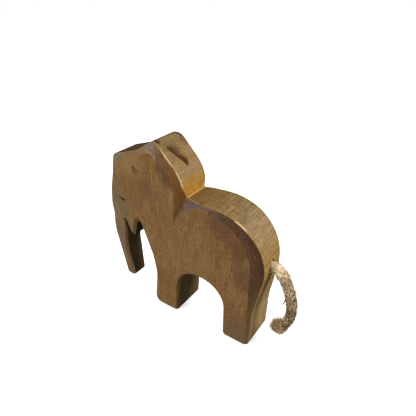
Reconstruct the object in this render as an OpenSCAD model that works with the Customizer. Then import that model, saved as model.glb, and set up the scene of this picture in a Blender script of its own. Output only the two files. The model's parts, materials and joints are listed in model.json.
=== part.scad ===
// Wooden elephant figure: one sawn and knife-bevelled board with a jute rope tail glued into the rump.
// The elephant faces -X, the board's thickness runs along Y and +Z is up.
// The origin lies on the ground under the middle of the wooden figure.

/* [Board] */
// Thickness of the board that the figure is sawn from
board_t = 24; // [20:0.5:32]

/* [Legs and belly] */
// Length of the front foot along the ground
front_foot_l = 18.9; // [17.5:0.1:20.5]
// Length of the hind foot along the ground
hind_foot_l = 17.3; // [15:0.1:19]
// Gap between the feet along the ground
leg_gap = 33.6; // [31:0.1:36]
// Height of the belly arch
arch_h = 36; // [33:0.1:41]
// Drop of the belly arch from its middle to its rear shoulder
arch_drop = 1.6; // [0.5:0.1:4]
// Rounding of the arch's two shoulders
arch_r = 16; // [11:0.1:17]
// Forward rake of the front leg's rear edge, from the arch to the ground
leg_rake = 2.5; // [0:0.1:5]
// Rounding of the feet's corners
foot_r = 2.2; // [1:0.1:3]
// Height of the front leg's narrowest point
wrist_h = 24.5; // [20:0.1:29]
// Set-back of the narrowest point from the toe
wrist_in = 2.9; // [1:0.1:5]

/* [Rump and back] */
// Distance of the rump behind the hind heel
rump_out = 5.5; // [3:0.1:9]
// Drop of the back below the crown
back_drop = 27.7; // [23:0.1:33]
// Rounding from the back to the rump
rump_r = 30; // [20:0.5:34]
// Drop from the back to where the rump turns into the thigh
thigh_drop = 33.7; // [28:0.1:40]
// Height of the hock, the bend of the hind leg's rear edge
hock_h = 26; // [20:0.1:32]
// Distance of the hock behind the hind heel
hock_out = 0.9; // [0:0.1:3]

/* [Neck notch] */
// Distance of the notch's corner behind the front heel
neck_x = 7.4; // [4:0.1:11]
// Depth of the notch's corner below the back
neck_drop = 0.2; // [0:0.1:1.5]
// How far the valley of the notch runs down the side
valley_drop = 18; // [12:0.1:22]
// How far the valley of the notch runs forward along the side
valley_run = 10.6; // [8:0.1:14]
// Distance behind the notch where the back's bevel starts to deepen towards it
withers_l = 13; // [9:0.1:16]

/* [Head] */
// Height of the crown, the figure's highest place
crown_h = 111.9; // [100:0.1:124]
// Distance of the ear's rear bulge in front of the notch
ear_in = 2.6; // [1:0.1:4]
// Drop of the ear's rear bulge below the crown
ear_drop = 16.1; // [13:0.1:19]
// Height of the ear's straight foot above the back
ear_foot_h = 5; // [3:0.1:7]
// Distance of the crown in front of the ear's bulge
crown_run = 17; // [14:0.1:20]
// Distance of the forehead's dip in front of the crown
dip_run = 15.3; // [12:0.1:18]
// Drop of the forehead's dip below the crown
dip_drop = 8.5; // [6:0.1:11]
// Distance of the brow, the head's front corner, in front of the dip
brow_run = 18.2; // [15:0.1:22]
// Drop of the brow below the crown
brow_drop = 14.4; // [12:0.1:18]
// Drop of the bend of the face below the brow
face_drop = 11.5; // [9:0.1:14]
// Distance of the bend of the face in front of the brow
face_out = 0.6; // [0:0.1:1.5]
// Drop of the chin's arch below the crown
chin_drop = 53.1; // [48:0.1:58]
// Distance of the chin's arch behind the jaw's tip
chin_back = 5.4; // [4.4:0.1:7]
// Drop of the jaw's pointed tip below the crown
jaw_drop = 66.9; // [62:0.1:72]
// Distance of the jaw's tip behind the slit's top
jaw_back = 6; // [4.8:0.1:7.5]
// Height of the chest's bend
chest_h = 37; // [33:0.1:43]
// Distance of the chest's bend behind the toe
chest_in = 0.8; // [0:0.1:3]

/* [Trunk] */
// Distance of the cheek's bulge in front of the brow
cheek_run = 5.9; // [4:0.1:8]
// Drop of the cheek's bulge below the crown
cheek_drop = 46.9; // [43:0.1:51]
// Distance of the trunk's foremost bend in front of the cheek
trunk_run = 4.4; // [3:0.1:6]
// Drop of the trunk's foremost bend below the crown
trunk_drop = 65.9; // [60:0.1:72]
// Height of the trunk's tip above the ground
tip_h = 5; // [2:0.1:8]
// Width of the trunk's tip, seen from the side
tip_w = 7.4; // [6:0.1:9]
// Set-back of the tip's front corner behind the foremost bend
tip_back = 6.4; // [4:0.1:9]
// Width of the trunk at its bends, seen from the side
trunk_w = 10.2; // [8.5:0.1:12]
// Drop of the bend in the trunk's rear edge below the crown
bend_drop = 77.9; // [73:0.1:82]
// Drop of the slit's top, between the trunk and the jaw, below the crown
slit_drop = 54.1; // [50:0.1:58]
// Distance of the slit's top behind the bend in the trunk's rear edge
slit_back = 6.8; // [5:0.1:8.5]
// How much each flank of the trunk is cut back at the tip
tip_recess = 6; // [3:0.1:7]
// How much each flank of the trunk is cut back at its bends
trunk_recess = 4.6; // [2:0.1:6]

/* [Knife bevels] */
// Width of the bevel along the back
back_bevel_w = 3.4; // [2:0.1:5]
// Depth of the bevel along the back
back_bevel_d = 1.2; // [0.6:0.1:2]
// Width of the bevel round the rump
rump_bevel_w = 6.8; // [5:0.1:8]
// Depth of the bevel round the rump
rump_bevel_d = 3; // [1.5:0.1:4]
// Depth of the bevels where they meet in the neck notch
neck_bevel_d = 3.5; // [2:0.1:4.5]
// Width of the bevel behind the ear
ear_bevel_w = 5.5; // [4:0.1:7]
// Depth of the bevel behind the ear
ear_bevel_d = 1.8; // [1:0.1:2.6]
// Width of the bevel along the forehead
brow_bevel_w = 3; // [2:0.1:4]
// Depth of the bevel along the forehead
brow_bevel_d = 2.8; // [1.5:0.1:4]
// Width of the bevel on the trunk's edges
trunk_bevel_w = 1.6; // [0.8:0.1:2]
// Depth of the bevel on the trunk's edges
trunk_bevel_d = 1.5; // [0.8:0.1:2]
// Width of the bevel on the jaw's rear edge
jaw_bevel_w = 1.9; // [1:0.1:2.2]
// Depth of the bevel on the jaw's edges
jaw_bevel_d = 1.4; // [0.8:0.1:2]
// Width and depth of the small bevel on the legs, belly and chest
edge_bevel = 0.8; // [0.4:0.1:1.2]

/* [Carved details] */
// Length of the knife cut between the ears, from its pointed foot up
ear_cut_l = 13.6; // [11:0.1:15]
// Width of the cut at its upper end
ear_cut_w = 11.6; // [8:0.1:14]
// Depth of the cut at its deepest place
ear_cut_d = 3.4; // [1.5:0.1:4]
// Drop of the cut's pointed foot below the crown
ear_cut_drop = 13.1; // [11.5:0.1:14.5]
// Length of the eye's slit
eye_l = 6.2; // [3:0.1:7]
// Width of the eye's slit
eye_w = 1.3; // [0.5:0.1:1.5]
// Depth of the eye's slit
eye_d = 0.5; // [0.3:0.1:0.8]
// Drop of the eye below the crown
eye_drop = 40.9; // [36:0.1:44]
// Distance of the eye behind the brow
eye_back = 5.6; // [4:0.1:9]
// Slope of the eye's slit, rising towards the front
eye_slope = 22; // [0:1:40]

/* [Tail] */
// Drop of the tail's socket below the back
tail_drop = 29.2; // [25:0.1:33]
// Diameter of the rope
rope_d = 6; // [4.5:0.1:7.5]
// Thickness of the glue film round the rope
glue_film = 0.2; // [0.1:0.05:0.5]
// Depth of the socket
socket_depth = 14; // [10:0.5:20]
// Thickness of the glue at the bottom of the socket
glue_plug = 1.5; // [0.5:0.1:3]
// How far the glue stays below the socket's mouth
glue_below = 1; // [0.5:0.1:2]
// How far the glued end of the rope stands out of the socket
root_out = 0.4; // [0.2:0.1:1]
// Gap between the glued end and the free stretch of the rope
flex_gap = 0.3; // [0.2:0.05:0.5]

/* [Hidden] */
$fn = 48;
wood = "#7d5b36";
jute = "#c4a87c";
amber = "#b98a3e";

// Roundings of the outline's bends
thigh_r = 16;
hock_r = 60;
ear_r = 26;
crown_r = 5;
dip_r = 22;
brow_r = 3.2;
neck_r = 0.5;
face_r = 34;
trunk_r = 32;
tip_r = 2.6;
bend_r = 40;
slit_r = 0.8;
jaw_r = 0.7;
chin_r = 2.2;
chest_r = 30;
wrist_r = 30;
belly_r = 40;
toe_r = foot_r + edge_bevel;

// Roundings of the flat side's corners, where they differ from the outline's by more than the bevel
flat_crown_r = 5;
flat_brow_r = 7;
flat_neck_r = 1;
flat_jaw_r = 0.4;

// Distances in front of or behind the front heel, and heights, that follow from the sizes above
hind_heel_x = leg_gap + hind_foot_l;
rump_x = hind_heel_x + rump_out;
ear_x = neck_x - ear_in;
crown_x = crown_run - ear_x;
dip_x = crown_x + dip_run;
brow_x = dip_x + brow_run;
face_x = brow_x + face_out;
cheek_x = brow_x + cheek_run;
trunk_x = cheek_x + trunk_run;
bend_x = trunk_x - trunk_w;
slit_x = bend_x - slit_back;
jaw_x = slit_x - jaw_back;
chin_x = jaw_x - chin_back;
chest_x = front_foot_l - chest_in;
tip_x = trunk_x - tip_back;
eye_x = brow_x - eye_back;
back_h = crown_h - back_drop;
ear_h = crown_h - ear_drop;
dip_h = crown_h - dip_drop;
brow_h = crown_h - brow_drop;
face_h = brow_h - face_drop;
cheek_h = crown_h - cheek_drop;
trunk_h = crown_h - trunk_drop;
bend_h = crown_h - bend_drop;
slit_h = crown_h - slit_drop;
jaw_h = crown_h - jaw_drop;
chin_h = crown_h - chin_drop;
thigh_h = back_h - thigh_drop;
tail_h = back_h - tail_drop;
eye_h = crown_h - eye_drop;
ear_cut_h = crown_h - ear_cut_drop;
socket_d = rope_d + 2 * glue_film;

// Corners of the outline that are rounded off lie beyond the crown and the chin's arch
crown_over = 1.4;
chin_over = 4.18;
crown_top = crown_h + crown_over;
chin_top = chin_h + chin_over;

// Places between two corners: the trunk's fold on the face and at the slit, the withers, the ear's foot and
// the arch's highest place
FOLD_SHARE = 0.36;
SLIT_SHARE = 0.17;
WITHERS_SHARE = 0.4;
EAR_FOOT_SHARE = 0.4;
ARCH_SHARE = 0.53;
function mix(a, b, t) = a + (b - a) * t;
fold_at = mix([-face_x, face_h], [-cheek_x, cheek_h], FOLD_SHARE);
slit_low = mix([-slit_x, slit_h], [-bend_x, bend_h], SLIT_SHARE);
withers_x = neck_x + withers_l;

// How far a bevel has changed at a place between two others, and how much wider it is there
HEEL_SHARE = 0.12;
HOCK_SHARE = 0.25;
THIGH_SHARE = 0.8;
FACE_SHARE = 0.3;
CHEEK_SHARE = 0.25;
EAR_FOOT_TIMES = 1.1;
CROWN_TIMES = 1.25;
withers_more = 1;

// Bevels, [width, depth]; the cut widens from the hind leg to the rump and deepens towards the notch
small = [edge_bevel, edge_bevel];
rump = [rump_bevel_w, rump_bevel_d];
heel = mix(small, rump, HEEL_SHARE);
hock = mix(small, rump, HOCK_SHARE);
thigh = mix(small, rump, THIGH_SHARE);
back = [back_bevel_w, back_bevel_d];
withers = [back_bevel_w + withers_more, (back_bevel_d + neck_bevel_d) / 2];
notch_rear = [valley_drop, neck_bevel_d];
notch_front = [valley_run, neck_bevel_d];
ear = [ear_bevel_w, ear_bevel_d];
ear_low = EAR_FOOT_TIMES * ear;
brow = [brow_bevel_w, brow_bevel_d];
crown = CROWN_TIMES * brow;
trunk = [trunk_bevel_w, trunk_bevel_d];
face = mix(trunk, brow, FACE_SHARE);
jaw_front = [edge_bevel / 2, jaw_bevel_d];
jaw_rear = [jaw_bevel_w, jaw_bevel_d];
cheek_recess = CHEEK_SHARE * trunk_recess;

// Rows of the outline, counter-clockwise as seen from the elephant's left side:
// [x, z, rounding, arc steps, bevel before, bevel after, flank recess, rounding of the flat side]
hind_rows = [
    // hind foot
    [leg_gap, 0, foot_r, 5, small, small, 0, foot_r - edge_bevel],
    [hind_heel_x, 0, foot_r, 5, small, heel, 0, foot_r - edge_bevel],
    // rear edge of the hind leg, rump and back
    [hind_heel_x + hock_out, hock_h, hock_r, 4, hock, hock, 0, hock_r],
    [rump_x, thigh_h, thigh_r, 5, thigh, rump, 0, thigh_r - rump_bevel_w],
    [rump_x, back_h, rump_r, 14, rump, back, 0, rump_r - back_bevel_w],
    [withers_x, back_h, 0, 0, back, back, 0, 0],
    [neck_x + WITHERS_SHARE * withers_l, back_h, 0, 0, withers, withers, 0, 0],
    // neck notch and rear of the ears
    [neck_x, back_h - neck_drop, neck_r, 3, notch_rear, notch_front, 0, flat_neck_r],
    [neck_x - EAR_FOOT_SHARE * ear_in, back_h + ear_foot_h, 0, 0, ear_low, ear_low, 0, 0],
    [ear_x, ear_h, ear_r, 8, ear_low, ear, 0, ear_r - ear_bevel_w],
];
head_rows = [
    // crown, forehead and face
    [-crown_x, crown_top, crown_r, 8, ear, crown, 0, flat_crown_r],
    [-dip_x, dip_h, dip_r, 5, brow, brow, 0, dip_r],
    [-brow_x, brow_h, brow_r, 7, brow, brow, 0, flat_brow_r],
    [-face_x, face_h, face_r, 5, face, trunk, 0, face_r],
];
trunk_rows = [
    // trunk, from the fold on the front of the face round the tip to the fold at the slit
    [fold_at[0], fold_at[1], 0, 0, trunk, trunk, 0, 0],
    [-cheek_x, cheek_h, 0, 0, trunk, trunk, cheek_recess, 0],
    [-trunk_x, trunk_h, trunk_r, 8, trunk, trunk, trunk_recess, trunk_r],
    [-tip_x, tip_h, tip_r, 5, trunk, trunk, tip_recess, tip_r - trunk_bevel_w],
    [-tip_x + tip_w, tip_h, tip_r, 5, trunk, trunk, tip_recess, tip_r - trunk_bevel_w],
    [-bend_x, bend_h, bend_r, 8, trunk, trunk, trunk_recess, bend_r],
    [slit_low[0], slit_low[1], 0, 0, small, small, cheek_recess, 0],
];
front_rows = [
    [-slit_x, slit_h, slit_r, 4, small, small, 0, slit_r + edge_bevel],
    // jaw, chin, chest and the front edge of the front leg
    [-jaw_x, jaw_h, jaw_r, 4, jaw_front, jaw_rear, 0, flat_jaw_r],
    [-chin_x, chin_top, chin_r, 6, jaw_rear, small, 0, chin_r + edge_bevel],
    [-chest_x, chest_h, chest_r, 5, small, small, 0, chest_r],
    [-front_foot_l + wrist_in, wrist_h, wrist_r, 5, small, small, 0, wrist_r],
    // front foot and belly arch
    [-front_foot_l, 0, toe_r, 5, small, small, 0, toe_r - edge_bevel],
    [0, 0, foot_r, 5, small, small, 0, foot_r - edge_bevel],
    [leg_rake, arch_h, arch_r, 9, small, small, 0, arch_r + edge_bevel],
    [leg_gap * ARCH_SHARE, arch_h, belly_r, 2, small, small, 0, belly_r],
    [leg_gap, arch_h - arch_drop, arch_r, 9, small, small, 0, arch_r + edge_bevel],
];
corners = concat(hind_rows, head_rows, trunk_rows, front_rows);
crown_row = len(hind_rows);
fold_front_row = crown_row + len(head_rows);
fold_rear_row = fold_front_row + len(trunk_rows);

// Free stretch of the rope: points of its middle line, [x, z] from its turning point just outside the socket
tail_route = [
    [0, 0], [1.6, -2.2], [3.2, -4.6], [4.8, -7.2], [6.2, -9.8], [7.4, -12.6],
    [8.4, -15.4], [9.2, -18.4], [9.8, -21.4], [10, -24.4], [10, -27.4], [9.6, -30.4],
    [8.8, -33.4], [7.6, -36.2], [6.2, -38.8], [4.4, -41], [2.4, -42.6],
];
rope_sides = 12;
dome_steps = 3;

// Basic vectors in the plane of the outline
function unit(v) = v / norm(v);
function inward(v) = [-v[1], v[0]];
function cross2(a, b) = a[0] * b[1] - a[1] * b[0];
function turned(v, a) = [v[0] * cos(a) - v[1] * sin(a), v[0] * sin(a) + v[1] * cos(a)];
function total(v, i = 0) = i >= len(v) ? 0 : v[i] + total(v, i + 1);
function backwards(v) = [for (k = [len(v) - 1:-1:0]) v[k]];

// Direction of the edge that leaves corner i, and the signed turn at corner i
function leaving(p, i) = unit(p[(i + 1) % len(p)] - p[(i + len(p)) % len(p)]);
function turn(p, i) = let (
        a = leaving(p, i - 1),
        b = leaving(p, i)
    ) atan2(cross2(a, b), a * b);

// Corner of the flat side's outline: where the two neighbouring edges meet once each is moved in by its bevel
SLIGHT_TURN = 0.05;
function inset(p, c, i) = let (
        a = leaving(p, i - 1),
        b = leaving(p, i),
        k = a * inward(b),
        s = abs(k) < SLIGHT_TURN ? 0 : (c[i][5][0] - c[i][4][0] * (a * b)) / k
    ) p[i] + inward(a) * c[i][4][0] + a * s;

// Length that each rounding takes from its edges, shortened where two roundings share a short edge
least_run = 0.8;
EDGE_ROOM = 0.98;
TINY = 0.001;
function wanted(p, r, i) = r[i] == 0 ? 0 : max(least_run, r[i] * tan(abs(turn(p, i)) / 2));
function share(p, r, i) = let (
        j = (i + 1) % len(p),
        need = wanted(p, r, i) + wanted(p, r, j)
    ) need < TINY ? 1 : min(1, EDGE_ROOM * norm(p[j] - p[i]) / need);
function taken(p, r, i) = wanted(p, r, i) * min(share(p, r, i), share(p, r, (i + len(p) - 1) % len(p)));

// Points of one rounded corner
function arc(p, r, steps, i) = let (
        t = taken(p, r, i),
        w = turn(p, i),
        a = leaving(p, i - 1),
        start = p[i] - a * t,
        side = w < 0 ? -1 : 1,
        rad = t / tan(abs(w) / 2),
        mid = start + inward(a) * side * rad
    ) steps == 0 ? [p[i]] : abs(w) < TINY ? [for (k = [0:steps]) start + a * 2 * t * k / steps]
        : [for (k = [0:steps]) mid + turned(start - mid, w * k / steps)];
function rounded(p, r) = [for (i = [0:len(p) - 1]) each arc(p, r, corners[i][3], i)];

// The sawn outline, and the outline of the flat side inside the bevels
count = len(corners);
saw_corner = [for (c = corners) [c[0], c[1]]];
flat_corner = [for (i = [0:count - 1]) inset(saw_corner, corners, i)];
saw_raw = rounded(saw_corner, [for (c = corners) c[2]]);
flat_raw = rounded(flat_corner, [for (c = corners) c[7]]);

// The figure is centred over its own length
xs = [for (p = saw_raw) p[0]];
middle_x = (min(xs) + max(xs)) / 2;
saw_line = [for (p = saw_raw) p - [middle_x, 0]];
flat_line = [for (p = flat_raw) p - [middle_x, 0]];
ring = len(saw_line);
owner = [for (i = [0:count - 1]) for (k = [0:corners[i][3]]) i];
bevel_depth = [for (i = [0:count - 1]) let (c = corners[i])
    for (k = [0:c[3]]) mix(c[4][1], c[5][1], c[3] == 0 ? 0 : k / c[3])];
function first(i) = total([for (k = [0:1:i - 1]) corners[k][3] + 1]);

// Rear of the outline at a given height
function rear_x(h) = max([for (k = [0:ring - 1]) let (
        p = saw_line[k],
        q = saw_line[(k + 1) % ring]
    ) if ((p[1] - h) * (q[1] - h) <= 0 && p[1] != q[1]) mix(p[0], q[0], (h - p[1]) / (q[1] - p[1]))]);
mouth_x = rear_x(tail_h);

// The four rings of the body, from its left side to its right side
function half(k) = board_t / 2 - corners[owner[k]][6];
body_points = concat(
    [for (k = [0:ring - 1]) [flat_line[k][0], -half(k), flat_line[k][1]]],
    [for (k = [0:ring - 1]) [saw_line[k][0], bevel_depth[k] - half(k), saw_line[k][1]]],
    [for (k = [0:ring - 1]) [saw_line[k][0], half(k) - bevel_depth[k], saw_line[k][1]]],
    [for (k = [0:ring - 1]) [flat_line[k][0], half(k), flat_line[k][1]]]
);
function band(a, b) = [for (k = [0:ring - 1]) let (m = (k + 1) % ring) each [
    [a * ring + k, a * ring + m, b * ring + k],
    [a * ring + m, b * ring + m, b * ring + k],
]];

// Triangles of a flat outline, given as the numbers of its points: one corner after another is cut off,
// wherever no other point lies in the way
function left_of(a, b, q) = cross2(b - a, q - a) >= 0;
function covers(a, b, c, q) = left_of(a, b, q) && left_of(b, c, q) && left_of(c, a, q);
function is_free(p, v, k) = let (
        n = len(v),
        a = p[v[(k + n - 1) % n]],
        b = p[v[k]],
        c = p[v[(k + 1) % n]]
    ) cross2(b - a, c - b) > 0 && len([for (j = [2:n - 2]) if (covers(a, b, c, p[v[(k + j) % n]])) j]) == 0;
function first_free(p, v, k = 0) = k == len(v) || is_free(p, v, k) ? k % len(v) : first_free(p, v, k + 1);
function triangles(p, v) = len(v) == 3 ? [v] : let (
        n = len(v),
        k = first_free(p, v)
    ) concat(
        [[v[(k + n - 1) % n], v[k], v[(k + 1) % n]]],
        triangles(p, [for (j = [2:n]) v[(k + (j == n ? 1 : j)) % n]])
    );

// Flat side: the body's flat, and the trunk's flank as a ladder from the fold down to the tip
fold_a = first(fold_front_row);
fold_b = first(fold_rear_row);
rungs = (fold_b - fold_a - 1) / 2;
flat_faces = triangles(flat_line, [for (k = [fold_b:ring + fold_a]) k % ring]);
function ladder(s, flip) = [for (k = [0:rungs - 1]) let (
        a = s + fold_a + k,
        b = s + fold_b - k
    ) each flip ? [[a, b, a + 1], [a + 1, b, b - 1]] : [[a, a + 1, b], [a + 1, b - 1, b]]];

module body_blank() {
    polyhedron(
        points = body_points,
        faces = concat(
            band(0, 1),
            band(1, 2),
            band(2, 3),
            [for (f = flat_faces) backwards(f)],
            [for (f = flat_faces) f + [3, 3, 3] * ring],
            ladder(0, true),
            ladder(3 * ring, false)
        )
    );
}

// Knife cut between the ears, laid along their rear: three flat walls that meet at its deepest place.
// They are drawn on past the ear's surface, so that they cut it cleanly.
DEEPEST_SHARE = 0.62;
CUT_PAST = 1.5;
ear_run = unit(saw_corner[crown_row] - saw_corner[crown_row - 1]);
ear_lean = atan2(ear_run[1], ear_run[0]);
ear_cut_foot = saw_corner[crown_row - 1] + ear_run * (ear_cut_h - ear_h) / ear_run[1] - [middle_x, 0];
ear_cut_deepest = [DEEPEST_SHARE * ear_cut_l, 0, ear_cut_d];
ear_cut_rim = [[0, 0, 0], [ear_cut_l, ear_cut_w / 2, 0], [ear_cut_l, -ear_cut_w / 2, 0]];
module ear_cut() {
    translate([ear_cut_foot[0], 0, ear_cut_foot[1]])
        rotate([0, -ear_lean, 0])
            polyhedron(
                points = concat(
                    [ear_cut_deepest],
                    [for (p = ear_cut_rim) mix(ear_cut_deepest, p, CUT_PAST)]
                ),
                faces = [[1, 2, 3], [0, 2, 1], [0, 3, 2], [0, 1, 3]]
            );
}

// Boat-shaped eye: the cut of a thin disc that dips into each side
eye_r = (eye_l * eye_l / 4 + eye_d * eye_d) / (2 * eye_d);
module eye_cuts() {
    for (s = [-1, 1])
        translate([-eye_x - middle_x, s * (board_t / 2 - eye_d + eye_r), eye_h])
            rotate([0, eye_slope, 0])
                cylinder(h = eye_w, r = eye_r, center = true);
}

// Blind hole for the tail, drilled level into the rump from outside it
drill_before = 5;
module tail_socket() {
    translate([mouth_x - socket_depth, 0, tail_h])
        rotate([0, 90, 0])
            cylinder(h = socket_depth + drill_before, d = socket_d);
}

module body() {
    color(wood)
        difference() {
            body_blank();
            ear_cut();
            eye_cuts();
            tail_socket();
        }
}

// Stretch of the rope that is glued into the socket
module tail_root() {
    color(jute)
        translate([mouth_x - socket_depth + glue_plug, 0, tail_h])
            rotate([0, 90, 0])
                cylinder(h = socket_depth - glue_plug + root_out, d = rope_d);
}

// Cured glue: a plug at the bottom of the socket and a film round the rope
module tail_glue() {
    color(amber)
        translate([mouth_x - socket_depth, 0, tail_h])
            rotate([0, 90, 0])
                difference() {
                    cylinder(h = socket_depth - glue_below, d = socket_d);
                    translate([0, 0, glue_plug])
                        cylinder(h = socket_depth, d = rope_d);
                }
}

// Free stretch of the rope: a tube swept along its route, with a round end at the socket so that it can swing
tail_start = [mouth_x + root_out + flex_gap + rope_d / 2, 0, tail_h];
route = [for (p = tail_route) tail_start + [p[0], 0, p[1]]];
function heading(i) = let (
        a = route[max(i - 1, 0)],
        b = route[min(i + 1, len(route) - 1)]
    ) unit(b - a);
function hoop(mid, t, r) = [for (k = [0:rope_sides - 1]) let (w = 360 * k / rope_sides)
    mid + r * (cos(w) * [0, 1, 0] + sin(w) * [t[2], 0, -t[0]])];
hoops = concat(
    [for (k = [1:dome_steps]) let (w = 90 * k / (dome_steps + 1), t = heading(0))
        hoop(route[0] - rope_d / 2 * cos(w) * t, t, rope_d / 2 * sin(w))],
    [for (i = [0:len(route) - 1]) hoop(route[i], heading(i), rope_d / 2)]
);
rope_skin = [for (i = [0:len(hoops) - 2]) for (k = [0:rope_sides - 1]) let (
        a = i * rope_sides + k,
        b = i * rope_sides + (k + 1) % rope_sides
    ) each [[a, b, a + rope_sides], [b, b + rope_sides, a + rope_sides]]];
module tail_rope() {
    color(jute)
        polyhedron(
            points = [for (h = hoops) each h],
            faces = concat(
                rope_skin,
                [[for (k = [rope_sides - 1:-1:0]) k]],
                [[for (k = [0:rope_sides - 1]) (len(hoops) - 1) * rope_sides + k]]
            )
        );
}

body();
tail_root();
tail_glue();
tail_rope();
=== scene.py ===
"""Looks of a wooden elephant figure, built round its CAD model: a knife-bevelled board with a rope tail."""
import json
import math

import bpy
import numpy as np
from mathutils.geometry import delaunay_2d_cdt
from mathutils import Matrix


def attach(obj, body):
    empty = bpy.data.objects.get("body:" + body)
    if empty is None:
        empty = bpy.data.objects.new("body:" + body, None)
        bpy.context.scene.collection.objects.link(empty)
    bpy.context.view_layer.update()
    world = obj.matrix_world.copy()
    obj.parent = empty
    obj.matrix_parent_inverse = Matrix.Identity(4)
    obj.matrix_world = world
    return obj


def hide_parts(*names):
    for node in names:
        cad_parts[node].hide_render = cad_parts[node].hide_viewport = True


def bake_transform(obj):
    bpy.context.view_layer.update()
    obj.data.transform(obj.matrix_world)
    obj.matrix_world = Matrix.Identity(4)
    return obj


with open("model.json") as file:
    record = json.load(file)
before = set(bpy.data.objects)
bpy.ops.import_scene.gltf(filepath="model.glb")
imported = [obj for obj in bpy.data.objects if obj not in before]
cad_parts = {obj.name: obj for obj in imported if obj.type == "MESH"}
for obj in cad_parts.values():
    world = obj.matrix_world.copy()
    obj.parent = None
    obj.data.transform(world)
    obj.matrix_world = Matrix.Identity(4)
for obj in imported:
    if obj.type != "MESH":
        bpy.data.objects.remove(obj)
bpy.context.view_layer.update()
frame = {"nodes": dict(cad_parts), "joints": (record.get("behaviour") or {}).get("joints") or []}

# Everything below is worked out in millimetres and put into the meshes in metres
MM = 0.001
SEED = 7
rng = np.random.default_rng(SEED)

# Camera of the photograph: place in metres, angles in degrees, lens and sensor in millimetres
CAMERA_PLACE = (0.12271, -0.15747, 0.18788)
CAMERA_AZIMUTH, CAMERA_PITCH = 34.43, 30.29
CAMERA_LENS, SENSOR_W = 34.76, 36
NEAREST_SEEN = 0.005

# Studio: each lamp's name, place in metres, power in watts and width in metres, then the floor and the dome
LAMPS = [
    ("key", (0.521, 0.172, 0.571), 3.62, 0.22),
    ("fill", (-0.2, -0.8, 0.45), 4.4, 0.5),
    ("far_fill", (-0.6, 0.55, 0.4), 2.6, 0.5),
]
LAMP_AIM = (0, 0, 0.05)
WHITE, BLACK, FLOOR_GREY = (1, 1, 1, 1), (0, 0, 0, 1), (0.14, 0.13, 0.12, 1)
FLOOR_HALF, FLOOR_DROP, FLOOR_GLOW = 2000, 0.1, 0.64
DOME_LIGHT = 0.36

# Board, knife cut, eye and socket
BOARD_T = 24
FILLET = 0.42
CUT_D, CUT_FOOT_H = 3.4, 98.4
EYE_L, EYE_W, EYE_D, EYE_SLOPE = 6.2, 2.1, 0.5, 22
EYE_X, EYE_H = -40.1, 71.0
SOCKET_R, SOCKET_SHOWN = 2.6, 7

# Depth in the eye where its dark begins and where it is full
EYE_DARK = (0.05, 0.3)

# Names of the outline's corners, in order round the figure
(HIND_HEEL, HOCK, THIGH, RUMP, BACK, WITHERS, NECK, EAR_FOOT, EAR, CROWN, DIP, BROW, FACE, FOLD, CHEEK, TRUNK,
 TIP, TIP_REAR, BEND, SLIT_LOW, SLIT, JAW, CHIN, CHEST, WRIST, TOE, HEEL, ARCH_FRONT, ARCH, ARCH_REAR,
 HIND_TOE) = range(31)

# Corners of the sawn outline, counter-clockwise seen from the elephant's left, in mm behind the front heel
# and above the ground: x, z, rounding, bevel before the corner (width, depth), bevel after it, flank recess,
# and the rounding of the flat side
OUTLINE = np.array([
    (50.9, 0, 3.4, 1.1, 1, 1.52, 1.06, 0, 2.4),
    (51.8, 26, 60, 2.3, 1.35, 2.3, 1.35, 0, 60),
    (56.4, 50.5, 16, 5.6, 2.56, 6.8, 3, 0, 9.2),
    (56.4, 84.2, 30, 6.8, 3, 3.4, 1.2, 0, 26.6),
    (20.4, 84.2, 0, 3.4, 1.2, 3.4, 1.2, 0, 0),
    (12.6, 84.2, 0, 4.4, 2.35, 4.4, 2.35, 0, 0),
    (7.4, 84, 0.5, 18, 3.5, 10.6, 3.5, 0, 1),
    (6.36, 89.2, 0, 6.05, 1.98, 6.05, 1.98, 0, 0),
    (4.8, 95.8, 26, 6.05, 1.98, 5.5, 1.8, 0, 20.5),
    (-12.2, 113.3, 5, 5.5, 1.8, 3.75, 3.5, 0, 5),
    (-27.5, 103.4, 22, 3, 4, 3, 3.8, 0, 22),
    (-45.7, 97.5, 3.2, 3, 2.8, 3, 2.8, 0, 13),
    (-46.3, 86, 34, 2.02, 1.89, 1.6, 1.5, 0, 34),
    (-48.208, 78.44, 0, 1.6, 1.5, 1.6, 1.5, 0, 0),
    (-51.6, 65, 0, 1.6, 1.5, 1.6, 1.5, 1.15, 0),
    (-56, 46, 32, 1.6, 1.5, 1.6, 1.5, 4.6, 32),
    (-49.6, 5, 3.8, 1.6, 1.5, 1.6, 1.5, 6, 2.4),
    (-42.2, 5, 2.6, 1.6, 1.5, 1.6, 1.5, 6, 1),
    (-45.8, 34, 40, 1.6, 1.5, 1.6, 1.5, 4.6, 40),
    (-40.156, 53.754, 0, 0.8, 0.8, 0.8, 0.8, 1.15, 0),
    (-39, 57.8, 0.8, 0.8, 0.8, 0.8, 0.8, 0, 1.6),
    (-33, 45, 0.7, 0.4, 1.4, 1.9, 1.4, 0, 0.4),
    (-27.6, 62.98, 2.2, 1.9, 1.4, 0.8, 0.8, 0, 3),
    (-18.1, 37, 30, 0.8, 0.8, 0.8, 0.8, 0, 30),
    (-16, 24.5, 30, 0.8, 0.8, 0.8, 0.8, 0, 30),
    (-18.9, 0, 4.6, 0.8, 0.8, 1.1, 1, 0, 3.8),
    (0, 0, 3.2, 1.1, 1, 1.5, 1.2, 0, 2.2),
    (2.5, 36, 16, 1.5, 1.2, 1, 0.9, 0, 17.4),
    (17.808, 36, 40, 0.8, 0.8, 0.8, 0.8, 0, 40),
    (33.6, 34.4, 16, 0.8, 0.8, 0.8, 0.8, 0, 16.8),
    (33.6, 0, 2.2, 0.8, 0.8, 1.1, 1, 0, 1.4),
])

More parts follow.
